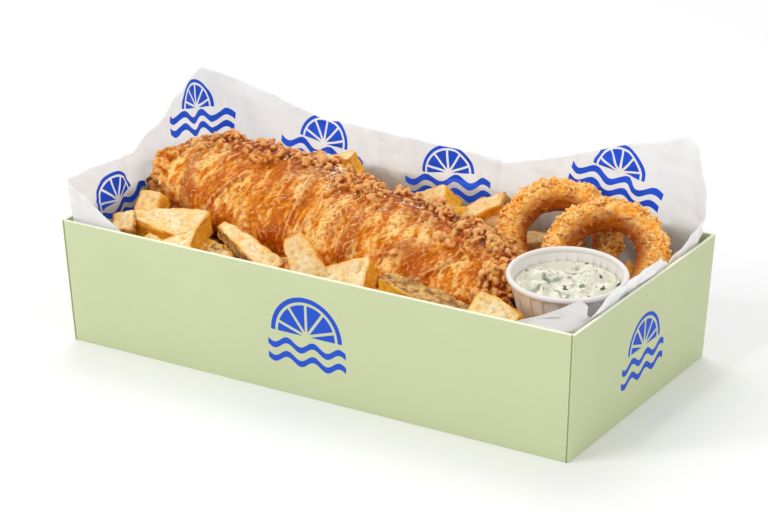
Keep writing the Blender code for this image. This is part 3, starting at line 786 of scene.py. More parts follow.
def make_liner():
    """The sheet, from a flat grid: up to the shoulder it leans on the walls, above it stands free."""
    bpy.ops.mesh.primitive_grid_add(x_subdivisions=LINER_COLUMNS, y_subdivisions=LINER_ROWS, size=1)
    liner = named("greaseproof_liner")
    grid = points_of(liner)
    round_share, up_share = grid[:, 0] + 0.5, grid[:, 1] + 0.5

    stations = np.array(LINER_STATIONS + LINER_STATIONS[:1])
    steps = np.hypot(*np.diff(stations[:, :2], axis=0).T)
    walked = np.concatenate(([0.0], np.cumsum(steps)))
    along = round_share * walked[-1]
    rim_x, rim_y, edge_x, edge_y, edge_z = (np.interp(along, walked, column) for column in stations.T)

    shoulder = np.minimum(LINER_SHOULDER, edge_z - 2.0)
    lower = np.clip(up_share / 0.5, 0.0, 1.0)
    upper = np.clip((up_share - 0.5) / 0.5, 0.0, 1.0)
    z = LINER_FLOOR + (shoulder - LINER_FLOOR) * lower
    foot = np.stack((rim_x * tray_share(z, 0), rim_y * tray_share(z, 1), z), axis=1)
    edge = np.stack((edge_x, edge_y, edge_z), axis=1)
    points = (foot + (edge - foot) * upper[:, None]) * MM

    inwards = np.stack((-rim_x, -rim_y * 1.9, 0 * rim_x), axis=1)
    inwards /= np.linalg.norm(inwards, axis=1)[:, None]
    push = crumple(points)
    # Below the rim the folds only push inwards, because the card stands behind them.
    held = points[:, 2] < (TRAY_HEIGHT + 1.0) * MM
    push = np.where(held, abs(push), push) * ramp(up_share, 0.0, 0.1)
    points += inwards * push[:, None] * MM
    points[:, 2] += 0.5 * soft(points, 14.0, 8) * upper**3 * MM
    set_points(liner, points)

    lay_prints(liner, along, points[:, 2] / MM)
    keep_value(liner, "facet", painted_facet_shades(points))
    edit(liner)
    bpy.ops.mesh.remove_doubles(threshold=0.02 * MM)
    shaped()
    return liner


# %% [markdown]
# ### Greaseproof paper
#
# Bleached greaseproof paper is white, a little see-through and satin rather than matt: it was beaten
# so long that its fibres closed up. Light that falls on its back glows through, which a Translucent
# BSDF could do too; subsurface scattering keeps to one shader. Each flat facet of the crumpled sheet
# gets a painted shade of its own, as if it leaned towards or away from the light. A half slice over two
# ribbons is drawn once, and the UV map repeats it over the sheet, each turned a little.

# %% Greaseproof material
PAPER_GLOW = 0.95


def sheet_print(paper, sheet):
    """One half slice over two ribbons, around the UV map's origin."""
    x = add(paper, "SeparateXYZ", {0: sheet})
    y = x.node.outputs[1]
    mark = half_slice(paper, x, y, 15.5, 0.6)
    for drop_mm in (4.8, 11.4):
        drop = add(paper, "Math", {0: y, 1: drop_mm * MM}, operation="ADD")
        ribbon = wave_ribbon(paper, x, drop, 27.0, 18.0, 3.6)
        mark = add(paper, "Math", {0: mark, 1: ribbon}, operation="MAXIMUM")
    return mark


def liner_material():
    # Light passes through the sheet, so both of its faces share what falls on either.
    paper, shader = new_material(
        "bleached greaseproof paper", Roughness=0.5, IOR=1.47, Specular_IOR_Level=0.3,
        Subsurface_Radius=(1.0, 1.0, 1.0), Subsurface_Scale=1.2 * MM)
    place = add(paper, "TexCoord", output=3)
    sheet = add(paper, "TexCoord", output=2)
    cloud = add(paper, "TexNoise", {"Vector": place, "Scale": per_mm(22.22), "Detail": 4.0})
    tone = add(paper, "MapRange", {0: cloud, 1: 0.35, 2: 0.65})
    facet = add(paper, "Attribute", output=2, attribute_name="facet")
    facet = add(paper, "Math", {0: facet, 1: 0.6}, operation="MULTIPLY")
    printed = sheet_print(paper, sheet)
    shade = add(paper, "Mix", {0: tone, 6: colour("#EEF3F8"), 7: colour("#FAFDFF")}, 2, data_type="RGBA")
    # Painted shade: each facet is darkened by its own amount, as if it leaned away from the light, and the
    # ink covers both.
    for factor, code in ((facet, "#CDD4DC"), (printed, "#1B58EC")):
        shade = add(paper, "Mix", {0: factor, 6: shade, 7: colour(code)}, 2, data_type="RGBA")
    # Ink stops the light inside the sheet.
    glow = add(paper, "Math", {0: printed, 1: -PAPER_GLOW, 2: PAPER_GLOW}, operation="MULTIPLY_ADD")
    # Fine creases, about 13 mm apart, where the sheet was balled up.
    balled = {"Vector": place, "Scale": per_mm(13.33), "Detail": 3.0}
    crackle = add(paper, "TexNoise", balled, noise_type="RIDGED_MULTIFRACTAL")
    relief = add(paper, "Bump", {"Height": crackle, "Distance": 0.9 * MM, "Strength": 0.5})
    wire(paper, shader, Base_Color=shade, Subsurface_Weight=glow, Normal=relief)
    return paper


liner = make_liner()
apply_modifier(liner, "SOLIDIFY", thickness=LINER_THICKNESS * MM, offset=0.0)
finished(liner, liner_material(), "greaseproof_paper", "paper_liner")

# %% [markdown]
# ## The battered fillet
#
# Batter runs while it sets: it is smooth and blistered over the belly, drips into ribs, and gathers
# into crags along the upper edge, at both ends and at the hem below. Sculpting would give such a
# crust by hand. Here it grows by rule, so that it can be made again. A sphere is drawn out to the
# fillet's own round section first. More than two thousand drops of batter are then strewn in short
# strands where crags grow, and a voxel remesh fuses them all into one skin with real clefts and
# overhangs. On the skin, a direction is given in degrees: 0 is the rear edge, 90 the top, 180 the hem
# in front and 270 the underside.

# %% Fillet form
FISH_LEFT = np.array((-138.0, 2.0, 75.5))
FISH_RIGHT = np.array((89.0, -22.0, 56.0))
FISH_BOW = np.array((0.0, 8.0, -5.0))
FISH_HALF_WIDTH = 35.0
FISH_HALF_THICKNESS = 23.0
FISH_ROLL = (12.0, 24.0)
# For placing drops and patterns on the skin: its length, and its radius all round.
FISH_LENGTH = 232.0
FISH_RADIUS = 30.0


def fillet_section(share):
    """Centre, half width, half thickness and the two cross directions at shares of the length."""
    share = np.atleast_1d(np.asarray(share, float))
    centre = FISH_LEFT + (FISH_RIGHT - FISH_LEFT) * share[:, None]
    centre = centre + FISH_BOW * np.sin(math.pi * share)[:, None]
    across = 2.0 * share - 1.0
    power = np.where(across < 0, 3.1, 3.0)
    end = np.maximum(0.0, 1.0 - abs(across) ** power) ** (1.0 / power)
    girth = end * (1.03 - 0.18 * np.clip(share, 0, 1) ** 1.5)
    flat = 0.86 + 0.14 * np.minimum(1.0, share / 0.3)
    roll = np.radians(FISH_ROLL[0] + (FISH_ROLL[1] - FISH_ROLL[0]) * share)
    zero = np.zeros_like(share)
    wide = np.stack((zero, np.cos(roll), np.sin(roll)), axis=1)
    deep = np.stack((zero, -np.sin(roll), np.cos(roll)), axis=1)
    return centre, FISH_HALF_WIDTH * girth, FISH_HALF_THICKNESS * girth * flat, wide, deep


def fillet_points(share, angle):
    """Points of the smooth fillet in mm: angle 0 is its rear edge and a quarter turn its top."""
    centre, half_width, half_thickness, wide, deep = fillet_section(share)
    sideways = wide * (half_width * np.cos(angle))[:, None]
    return centre + sideways + deep * (half_thickness * np.sin(angle))[:, None]


def fillet_place(points):
    """Share of the length, degrees round, and height over the smooth fillet in mm."""
    mm = points / MM
    share = np.clip((mm[:, 0] - FISH_LEFT[0]) / (FISH_RIGHT[0] - FISH_LEFT[0]), 0.004, 0.996)
    centre, half_width, half_thickness, wide, deep = fillet_section(share)
    across = np.einsum("ij,ij->i", mm - centre, wide)
    through = np.einsum("ij,ij->i", mm - centre, deep)
    degrees = np.degrees(np.arctan2(through / half_thickness, across / half_width)) % 360
    reach = np.hypot(across / half_width, through / half_thickness)
    return share, degrees, (reach - 1.0) * np.hypot(across, through) / np.maximum(reach, 0.1)


def left_cap(share, degrees):
    """The smooth, pale end of the fillet, 0 to 1."""
    return bump(share, 0.06, 0.08) * ramp(degrees, 52, 75) * (1.0 - ramp(degrees, 150, 195))


def crag_zone(share, degrees):
    """Where crags grow, 0 to 1: the upper rear edge, both ends and the hem."""
    ridge = bump(degrees, 48, 24)
    hem = 0.3 + 0.7 * bump(share, 0.05, 0.1) + 0.6 * bump(share, 0.92, 0.12)
    hem *= bump(degrees, 205, 17)
    ends = 0.9 * bump(share, 1.0, 0.05) + 0.35 * bump(share, 0.0, 0.03) * ramp(degrees, 150, 190)
    return np.clip(ridge + hem + ends, 0.0, 1.0)


# %% Flow of the batter


def flowing(points, degrees):
    """The points squeezed along the flow, so that noise read there comes out drawn down the belly."""
    down = points.copy()
    down[:, 0] += 6.0 * MM * soft(points, 26.0, 31) + (degrees - 120) * 0.05 * MM
    down[:, 1:] *= 0.3
    return down


def ribs_at(points, degrees):
    """Thin ribs of batter that ran down the belly, 0 to 1."""
    lines = 1.0 - ramp(abs(soft(flowing(points, degrees), 17.0, 32)), 0.0, 0.17)
    return lines * ramp(degrees, 40, 75) * ramp(soft(points, 16.0, 48), -0.35, 0.1)


def batter_flow(points, share, degrees):
    """Ribs that ran down the belly, swellings between them, and the thickened crag zones, in mm."""
    crags = crag_zone(share, degrees)
    belly = ramp(degrees, 55, 85) * (1.0 - ramp(degrees, 200, 220))
    swellings = 2.6 * soft(flowing(points, degrees), 20.0, 33) + 1.2 * soft(points, 10.0, 35)
    height = belly * (2.1 * ribs_at(points, degrees) + swellings - 0.9)
    height += crags * (1.0 + 2.4 * soft(points, 13.0, 34) + 1.8 * lumps(points, 9.0, 1))
    under = ramp(degrees, 215, 235) * (1.0 - ramp(degrees, 345, 360))
    return np.where(under > 0, np.minimum(height, 0.5) - 1.2 * under, height)


# %% Smooth fillet


def make_fillet():
    """The smooth fillet: a sphere's rings and meridians, laid along the fillet and round it."""
    lying = (0, math.pi / 2, 0)
    bpy.ops.mesh.primitive_uv_sphere_add(segments=192, ring_count=220, radius=1, rotation=lying)
    body = named("fillet_body")
    ball = points_of(body)
    # The rings stand evenly along the middle and closer together towards both ends.
    even = np.arcsin(np.clip(ball[:, 0], -1, 1)) / (math.pi / 2)
    share = 0.5 + 0.25 * (even + np.sin(math.pi / 2 * even))
    angle = np.arctan2(ball[:, 2], ball[:, 1])
    points = fillet_points(share, angle) * MM
    outwards = points - fillet_section(share)[0] * MM
    outwards /= np.maximum(np.linalg.norm(outwards, axis=1), 1e-9)[:, None]
    height = batter_flow(points, share, np.degrees(angle) % 360)
    set_points(body, points + outwards * height[:, None] * MM)
    return body


# %% Crags


def crag_clumps(chance):
    """Where stray batter gathers: (share, degrees, spread in mm, strands, stoutness) of each clump."""
    clumps = []
    # The crest, from end to end.
    for step in range(34):
        share = 0.02 + 0.95 * (step + chance.uniform(0.1, 0.9)) / 34
        clumps.append((share, chance.gauss(49, 7), chance.uniform(2.2, 5.5), chance.randrange(6, 22), 1.0))
    # The hem, thicker towards both ends.
    for step in range(24):
        share = 0.03 + 0.94 * (step + chance.uniform(0.0, 1.0)) / 24
        strands = chance.randrange(3, 9) + (6 if share < 0.12 or share > 0.84 else 0)
        clumps.append((share, chance.gauss(204, 5), chance.uniform(2.0, 4.5), strands, 0.9))
    # The right end, then the left end and the hem beside it.
    for _ in range(12):
        place = (chance.uniform(0.95, 0.99), chance.uniform(25, 220))
        clumps.append((*place, 4.0, chance.randrange(6, 16), 0.95))
    for _ in range(8):
        place = (chance.uniform(0.004, 0.02), chance.uniform(100, 212))
        clumps.append((*place, 2.6, chance.randrange(4, 9), 1.15))
    for step in range(9):
        clumps.append((0.01 + 0.013 * step, chance.gauss(209, 4), 2.0, chance.randrange(5, 10), 1.15))
    # Single drops that strayed onto the belly.
    for _ in range(26):
        clumps.append((chance.uniform(0.1, 0.95), chance.gauss(80, 14), 1.5, 1, 0.7))
    return clumps


def crag_places(chance):
    """Drops in short strands: each starts on the skin and wanders outwards, as stray batter does."""
    places = []
    for share, degrees, spread, strands, stout in crag_clumps(chance):
        for _ in range(strands):
            here = min(0.995, max(0.003, share + chance.gauss(0, spread) / FISH_LENGTH))
            turn = math.radians(degrees) + chance.gauss(0, spread) / FISH_RADIUS
            point = Vector(fillet_points(here, turn)[0])
            outwards = (point - Vector(fillet_section(here)[0][0])).normalized()
            heading = Vector([chance.gauss(0, 0.6) for _ in range(3)]) + outwards * chance.uniform(0.2, 1.3)
            size = chance.uniform(1.0, 2.7) * stout
            for _ in range(chance.randrange(1, 5)):
                shape = tuple(size * chance.uniform(0.5, 1.5) for _ in range(3))
                places.append((np.array(point) * MM, shape, None))
                heading = heading.normalized() + Vector([chance.gauss(0, 0.4) for _ in range(3)])
                if heading.dot(outwards) < -0.1:
                    heading += outwards * 0.8
                point += heading.normalized() * size * 0.95
                size *= chance.uniform(0.7, 1.05)
    return places


# %% Battered fish
# The remesh works in cells of this size, which is the finest crag it can keep.
DROP_VOXEL = 0.82


def make_battered_fish():
    """The fillet and its drops of batter fused to one skin, which then wrinkles."""
    chance = random.Random(5)
    pattern = small_lump("batter_drop", 2, 0.75, 4)
    places = crag_places(chance)
    strands = strew("crags", pattern, places, chance)
    print(len(places), "drops of batter")
    bpy.data.objects.remove(pattern)
    fish = joined("battered_fillet", [make_fillet(), strands])
    fuse(fish, DROP_VOXEL, 0.4, 1)
    points = points_of(fish)
    share, degrees, _ = fillet_place(points)
    crags = crag_zone(share, degrees)
    # Fine wrinkles, 3 to 5 mm apart, where the batter boiled; the crags are knobblier.
    bent = flowing(points, degrees) * (1.0, 2.3, 2.3) + 1.6 * MM * wander(points, 6.0, 61)
    wrinkles = 0.35 - abs(soft(bent, 3.8, 41)) + 0.6 * (0.3 - abs(soft(bent, 2.4, 44)))
    calm = 1.0 - 0.6 * left_cap(share, degrees)
    knobs = lumps(points, 4.5, 43) + 1.1 * (0.3 - abs(soft(points, 3.6, 47))) + 0.8 * soft(points, 2.2, 45)
    grain = 0.22 * soft(points, 1.8, 42)
    height = (1 - crags) * 0.95 * calm * wrinkles + crags * 1.1 * knobs + grain + 0.4 * soft(points, 7.0, 43)
    swell(fish, height)
    return fish


def value_fish(fish):
    """Numbers for the material: zones, hollows at two scales for its painted shade, the underside that it
    paints in shade, and coordinates that follow the flow.
    """
    points = points_of(fish)
    share, degrees, height = fillet_place(points)
    crag = crag_zone(share, degrees)
    values = {
        "crag": np.clip(crag * (1.0 + 0.5 * soft(points, 12.0, 45)), 0, 1),
        "lift": ramp(height, 1.2, 4.2),
        "rib": ribs_at(points, degrees) * (1 - crag),
        "hollow": np.clip(0.5 + 2.2 * hollows(fish, 5), 0, 1),
        "cleft": np.clip(0.5 + 0.42 * hollows(fish, 60), 0, 1),
        "pale": left_cap(share, degrees) - 0.9 * bump(share, 0.27, 0.1),
        # The underside and the hem below the fish, which the material paints in shade.
        "below": ramp(degrees, 142, 202) * (1 - ramp(degrees, 320, 350)),
        "along": points[:, 0] + 3.0 * soft(points, 22.0, 47) * MM,
        "round": np.radians(degrees) * FISH_RADIUS * MM,
    }
    for name, value in values.items():
        keep_value(fish, name, value)


# %% [markdown]
# ### Fried batter
#
# Wheat batter fried in oil: pale gold where it bubbled and amber where it ran thin. Its clefts, the
# hollows among the crags and the underside with the hem are darkened as painted shade, and the red
# brown between the crags is partly the skin's own colour and partly painted shade. Two things colour
# it. Noise that is drawn down the belly lays pale and amber patches, and the hollows stored on the mesh
# paint shade into every cleft and a highlight on every tip. A painted texture would do the same, but
# only at one size. A thin coat over a dull crust gives the eye the oil on it.

# %% Fried batter material


def batter_material():
    batter, shader = new_material(
        "fried wheat batter", IOR=1.45, Coat_Weight=0.22, Coat_Roughness=0.1, Specular_IOR_Level=0.06)
    place = add(batter, "TexCoord", output=3)
    names = ("crag", "lift", "rib", "hollow", "cleft", "below", "pale", "along", "round")
    values = [add(batter, "Attribute", output=2, attribute_name=name) for name in names]
    crag, lift, rib, hollow, cleft, below, pale, along, rounds = values
    flows = []
    for squeeze in (0.45, 0.5):
        down = add(batter, "Math", {0: rounds, 1: squeeze}, operation="MULTIPLY")
        flows.append(add(batter, "CombineXYZ", {0: along, 1: down}))
    # Patches 19 mm, 6 mm and 2.5 mm wide, twice as long down the belly, and specks of 1.3 mm.
    wide = {"Vector": flows[0], "Scale": per_mm(19.23), "Detail": 2.0, "Roughness": 0.6}
    middling = {"Vector": flows[0], "Scale": per_mm(5.882), "Detail": 2.0, "Distortion": 0.4}
    small = {"Vector": flows[1], "Scale": per_mm(2.5), "Detail": 3.0, "Roughness": 0.6}
    specks = {"Vector": place, "Scale": per_mm(1.316), "Detail": 2.0, "Roughness": 0.6}
    patterns = [add(batter, "TexNoise", pattern) for pattern in (wide, middling, small, specks)]
    broad, medium, fine, speck = patterns
    blend = add(batter, "Math", {0: broad, 1: 0.7}, operation="MULTIPLY")
    for part, weight in ((medium, 0.95), (fine, 0.7), (pale, -0.08)):
        blend = add(batter, "Math", {0: part, 1: weight, 2: blend}, operation="MULTIPLY_ADD")
    golden = add(batter, "MapRange", {0: blend, 1: 1.04, 2: 1.2})
    amber = add(batter, "MapRange", {0: blend, 1: 1.2, 2: 1.36, 3: 0.0, 4: 0.88})
    run = add(batter, "Math", {0: rib, 1: 0.85}, operation="MULTIPLY")
    # Painted shade in the small hollows.
    hollow_shade = add(batter, "MapRange", {0: hollow, 1: 0.5, 2: 0.9, 3: 0.0, 4: 0.8})
    # The skin between crags is red brown and dull, partly its own colour and partly painted shade.
    skin_brown_and_shade = add(batter, "MapRange", {0: lift, 1: 0.0, 2: 1.0, 3: 1.0, 4: 0.5})
    skin_brown_and_shade = add(batter, "Math", {0: skin_brown_and_shade, 1: crag}, operation="MULTIPLY")
    # Painted shade in the hollows of the crags.
    burnt = add(batter, "MapRange", {0: hollow, 1: 0.5, 2: 0.85, 3: 0.0, 4: 0.85})
    burnt = add(batter, "Math", {0: burnt, 1: crag}, operation="MULTIPLY")
    # A painted highlight on the bumps.
    tip_highlight = add(batter, "MapRange", {0: hollow, 1: 0.34, 2: 0.0, 3: 0.0, 4: 0.75})
    # Painted shade in the coarse clefts, strongest among the crags.
    deep = add(batter, "MapRange", {0: cleft, 1: 0.6, 2: 0.95, 3: 0.0, 4: 0.9})
    deeper = add(batter, "MapRange", {0: crag, 3: 0.25, 4: 1.0})
    deep = add(batter, "Math", {0: deep, 1: deeper}, operation="MULTIPLY")
    # Painted shade on the underside and the hem below.
    under = add(batter, "Math", {0: below, 1: 0.92}, operation="MULTIPLY")
    layers = (
        (amber, "#C05E00"),
        (run, "#B04A00"),
        (hollow_shade, "#B65600"),
        (skin_brown_and_shade, "#A0420E"),
        (burnt, "#7A2C10"),
        (tip_highlight, "#FEC07A"),
        (deep, "#6E2C0E"),
        (under, "#8A3600"),
    )
    shade = add(batter, "Mix", {0: golden, 6: colour("#FFD07C"), 7: colour("#E88C14")}, 2, data_type="RGBA")
    for factor, code in layers:
        shade = add(batter, "Mix", {0: factor, 6: shade, 7: colour(code)}, 2, data_type="RGBA")
    rough = add(batter, "MapRange", {0: fine, 1: 0.35, 2: 0.65, 3: 0.4, 4: 0.22})
    rough = add(batter, "Math", {0: crag, 1: 0.14, 2: rough}, operation="MULTIPLY_ADD")
    swelling = add(batter, "Math", {0: fine, 1: 1.1, 2: speck}, operation="MULTIPLY_ADD")
    relief = add(batter, "Bump", {"Height": swelling, "Distance": 1.2 * MM, "Strength": 0.85})
    wire(batter, shader, Base_Color=shade, Roughness=rough, Normal=relief)
    return batter


fish = make_battered_fish()
value_fish(fish)
finished(fish, batter_material(), "fish_batter", "battered_fish")

# %% [markdown]
# ### Sea salt
#
# A pinch of coarse salt has stuck to the wet crust: clear, flat-sided flakes up to two millimetres
# long. White dots in the crust's material would be quicker, but only real facets glint one by one.

# %% Salt flakes
SALT_FLAKES = 150


def make_salt(fish):
    """Most flakes lie in two pinches on the crest, the rest stray over the belly."""
    chance = random.Random(8)
    bpy.ops.mesh.primitive_ico_sphere_add(subdivisions=1, radius=1.0)
    grain = named("salt_grain")
    points = points_of(fish)
    share, degrees, _ = fillet_place(points)
    crest = bump(degrees, 60, 8)
    likely = bump(share, 0.45, 0.03) * crest + 0.5 * bump(share, 0.66, 0.04) * crest
    likely += 0.1 * bump(share, 0.55, 0.16) * bump(degrees, 85, 22)
    spots = surface_places(fish, SALT_FLAKES, chance, likely * (normals_of(fish)[:, 2] > 0.1))
    places = []
    for point, normal in spots:
        size = chance.uniform(0.18, 0.5)
        shape = (size * chance.uniform(0.8, 1.9), size, size * chance.uniform(0.3, 0.6))
        places.append((point + normal * 0.2 * MM, shape, normal))
    salt = strew("sea_salt", grain, places, chance)
    bpy.data.objects.remove(grain)
    return salt


# Clear salt over a bright crust looks white; low roughness lets its facets flash.
salt_paint, _ = new_material("sea salt flakes", Base_Color=colour("#FBF7F2"), Roughness=0.15, IOR=1.54)
finished(make_salt(fish), salt_paint, "fish_batter", angle=20)

# %% [markdown]
# ## Squid rings
#
# Two rings cut from a squid's body, crumbed and fried: a fat, uneven tube under a coat of coarse
# crumb. Displacing the tube would only give it waves, while crumbs stand on it with gaps below. So a
# torus is given the right thickness all round, then more than three thousand crumbs are strewn on
# each and fused by a fine remesh. The crumb is sparser in the hole, where it rubs off in the fryer.

# %% Rings
RING_TUBE = 8.7
RING_CRUMBS = 3300
CRUMB_VOXEL = 0.43
RINGS = {
    "squid_ring_front": {"centre": (111.0, 31.0, 63.2), "radius": 24.2, "tilt": 40, "facing": 18},
    "squid_ring_back": {"centre": (77.0, 45.6, 61.8), "radius": 24.6, "tilt": 44, "facing": 30},
}


def ring_matrix(ring):
    """Where a ring stands: its far side raised first, then turned to face its way."""
    turn = Matrix.Rotation(math.radians(ring["facing"]), 4, "Z")
    tilt = Matrix.Rotation(math.radians(ring["tilt"]), 4, "X")
    return Matrix.Translation(Vector(ring["centre"]) * MM) @ turn @ tilt


def tube_places(points, radius):
    """The tube's middle beside each point, and where the point lies: 1 outside, -1 in the hole."""
    turn = np.arctan2(points[:, 1], points[:, 0])
    middle = np.stack((np.cos(turn), np.sin(turn), 0 * turn), axis=1) * radius
    return middle, np.einsum("ij,ij->i", points - middle, middle) / (radius * RING_TUBE * MM)


def make_tube(radius, seed):
    """The squid itself: thinner at the foot of the ring, and uneven."""
    bpy.ops.mesh.primitive_torus_add(
        major_radius=radius, minor_radius=RING_TUBE * MM, major_segments=144, minor_segments=48)
    tube = named("ring_tube")
    points = points_of(tube)
    middle, _ = tube_places(points, radius)
    turn = np.arctan2(points[:, 1], points[:, 0])
    thick = (RING_TUBE - 1.1 - 1.9 * bump(np.sin(turn), -1.0, 0.5)) / RING_TUBE
    thick = thick + 0.1 * soft(points, 14.0, seed) + 0.09 * soft(points, 5.0, seed + 1)
    set_points(tube, middle + (points - middle) * thick[:, None])
    return tube


def crumb_places(tube, radius, seed, chance):
    """Crumbs in patches, most on the outer side, and now and then a coarse one."""
    points = points_of(tube)
    _, outwards = tube_places(points, radius)
    patchy = 0.12 + ramp(soft(points, 9.0, seed + 4), -0.25, 0.25)
    face = ramp(points[:, 2] / (RING_TUBE * MM), 0.2, 0.9)
    likely = (0.04 + ramp(outwards, -0.5, 0.55)) * patchy + 0.1 * face
    places = []
    for point, normal in surface_places(tube, RING_CRUMBS, chance, likely):
        size = chance.uniform(0.35, 0.75) if chance.random() < 0.85 else chance.uniform(0.75, 1.4)
        shape = [size * chance.uniform(*span) for span in ((0.8, 1.7), (0.7, 1.1), (0.5, 1.0))]
        jitter = np.array([chance.uniform(-0.7, 0.7) for _ in range(3)]) * MM
        places.append((point + jitter + normal * chance.uniform(0.1, 1.1) * size * MM, shape, None))
    return places


# %% Crumbed ring


def make_ring(name, ring, seed):
    """Tube and crumbs fused to one crust, roughened and set in its place."""
    chance = random.Random(seed)
    radius = ring["radius"] * MM
    tube = make_tube(radius, seed)
    pattern = small_lump("crumb", 1, 0.5, seed)
    crumbs = strew("crumbs", pattern, crumb_places(tube, radius, seed, chance), chance)
    bpy.data.objects.remove(pattern)
    ring_piece = joined("crumbed_" + name, [tube, crumbs])
    fuse(ring_piece, CRUMB_VOXEL, 0.5, 1)
    points = points_of(ring_piece)
    swell(ring_piece, 0.16 * soft(points, 1.4, seed + 2) + 0.7 * (0.3 - abs(soft(points, 4.6, seed + 6))))
    _, outwards = tube_places(points_of(ring_piece), radius)
    # The material paints shade on the inside of the hole and in the hollows.
    keep_value(ring_piece, "inside", 1.0 - ramp(outwards, -0.8, 0.1))
    keep_value(ring_piece, "hollow", np.clip(0.5 + 3.2 * hollows(ring_piece, 6), 0, 1))
    ring_piece.data.transform(ring_matrix(ring))
    return ring_piece


# %% [markdown]
# ### Fried crumb
#
# Dry breadcrumb on batter: pale gold grains over an orange crust, matt on the grains and slightly
# oily between them. One noise could tint it all, but crumbs differ one by one and in patches, so a
# coarse and a fine noise are laid over each other. The stored hollows paint shade between the grains
# and a highlight on their tips, and the inside of the ring's hole is painted darker as shade.

# %% Fried crumb material


def crumb_material():
    crumb, shader = new_material(
        "fried breadcrumb", IOR=1.45, Coat_Weight=0.14, Coat_Roughness=0.12, Specular_IOR_Level=0.1)
    place = add(crumb, "TexCoord", output=3)
    hollow = add(crumb, "Attribute", output=2, attribute_name="hollow")
    inside = add(crumb, "Attribute", output=2, attribute_name="inside")
    # Patches of 9 mm, single crumbs of 2.6 mm and their grain of 1.4 mm.
    patch = add(crumb, "TexNoise", {"Vector": place, "Scale": per_mm(9.09), "Detail": 3.0})
    patches = add(crumb, "MapRange", {0: patch, 1: 0.38, 2: 0.62})
    speck = add(crumb, "TexNoise", {"Vector": place, "Scale": per_mm(1.4286), "Detail": 2.0})
    tint = add(crumb, "TexNoise", {"Vector": place, "Scale": per_mm(2.632), "Detail": 2.0})
    tints = add(crumb, "MapRange", {0: tint, 1: 0.4, 2: 0.64, 3: 0.0, 4: 0.7})
    # Painted shade in the hollows between the grains, and a painted highlight on their tips.
    hollow_shade = add(crumb, "MapRange", {0: hollow, 1: 0.54, 2: 0.92, 3: 0.0, 4: 0.75})
    tip_highlight = add(crumb, "MapRange", {0: hollow, 1: 0.42, 2: 0.1, 3: 0.0, 4: 0.6})
    # Painted shade on the inside of the ring's hole.
    inner = add(crumb, "Math", {0: inside, 1: 0.85}, operation="MULTIPLY")
    shade = add(crumb, "Mix", {0: patches, 6: colour("#FFD47C"), 7: colour("#FFB038")}, 2, data_type="RGBA")
    for factor, code in ((tints, "#EA8A08"), (hollow_shade, "#BE5C00"), (tip_highlight, "#FFD08A"), (inner, "#A44200")):
        shade = add(crumb, "Mix", {0: factor, 6: shade, 7: colour(code)}, 2, data_type="RGBA")
    rough = add(crumb, "MapRange", {0: speck, 1: 0.35, 2: 0.7, 3: 0.2, 4: 0.42})
    relief = add(crumb, "Bump", {"Height": speck, "Distance": 0.6 * MM, "Strength": 0.7})
    wire(crumb, shader, Base_Color=shade, Roughness=rough, Normal=relief)
    return crumb


crumb_paint = crumb_material()
for seed, (name, ring) in enumerate(RINGS.items(), 51):
    finished(make_ring(name, ring, seed), crumb_paint, "squid_crumb", name)

# %% [markdown]
# ## The pleated pot
#
# A paper portion cup is pressed from one disc, so its wall gathers in two dozen pleats, sharper
# towards the foot, while the rim is curled over smooth. A Screw modifier could turn a profile into the
# cup. Here one circle is extruded along that profile: up the outside, round the rim, and down the
# inside to the floor, which leaves a mesh whose points can be moved. The pleats are then pressed in
# as small uneven steps of the radius.

# %% Pot shape
POT_BASE_CENTRE = (114.6, -18.2, 42.8)
POT_HEIGHT = 30.5
POT_RIM_RADIUS = 30.3
POT_TOP_RADIUS = 29.0
POT_BASE_RADIUS = 21.5
POT_WALL = 0.9
POT_FLOOR = 1.4
POT_CURL = 1.45
POT_PLEATS = 25
POT_LEAN = math.radians(5)
POT_LEAN_TOWARDS = math.radians(31)
POT_SEGMENTS = 480


def pot_matrix():
    """Where the pot stands: it leans over a little, towards the tray's front right corner."""
    lean = Matrix.Rotation(POT_LEAN, 4, "X")
    turn = Matrix.Rotation(POT_LEAN_TOWARDS, 4, "Z")
    return Matrix.Translation(Vector(POT_BASE_CENTRE) * MM) @ turn @ lean @ turn.inverted()


def pot_radius(height):
    """The outer radius of the pot's straight wall at a height, in mm."""
    return POT_BASE_RADIUS + (POT_TOP_RADIUS - POT_BASE_RADIUS) * height / POT_HEIGHT


def pot_profile():
    """(radius, height) from the foot, over the curled rim, to the inner floor."""
    rim_middle = POT_RIM_RADIUS - POT_CURL
    rim_height = POT_HEIGHT - POT_CURL
    wall = [(pot_radius(height), height) for height in np.linspace(0.0, POT_HEIGHT - 3.4, 12)]
    curl = []
    for degrees in range(-60, 235, 18):
        turn = math.radians(degrees)
        curl.append((rim_middle + POT_CURL * math.cos(turn), rim_height + POT_CURL * math.sin(turn)))
    downwards = np.linspace(POT_HEIGHT - 4.0, POT_FLOOR, 12)
    inner = [(pot_radius(height) - POT_WALL, height) for height in downwards]
    return [(POT_BASE_RADIUS - 1.0, 0.3)] + wall + curl + inner


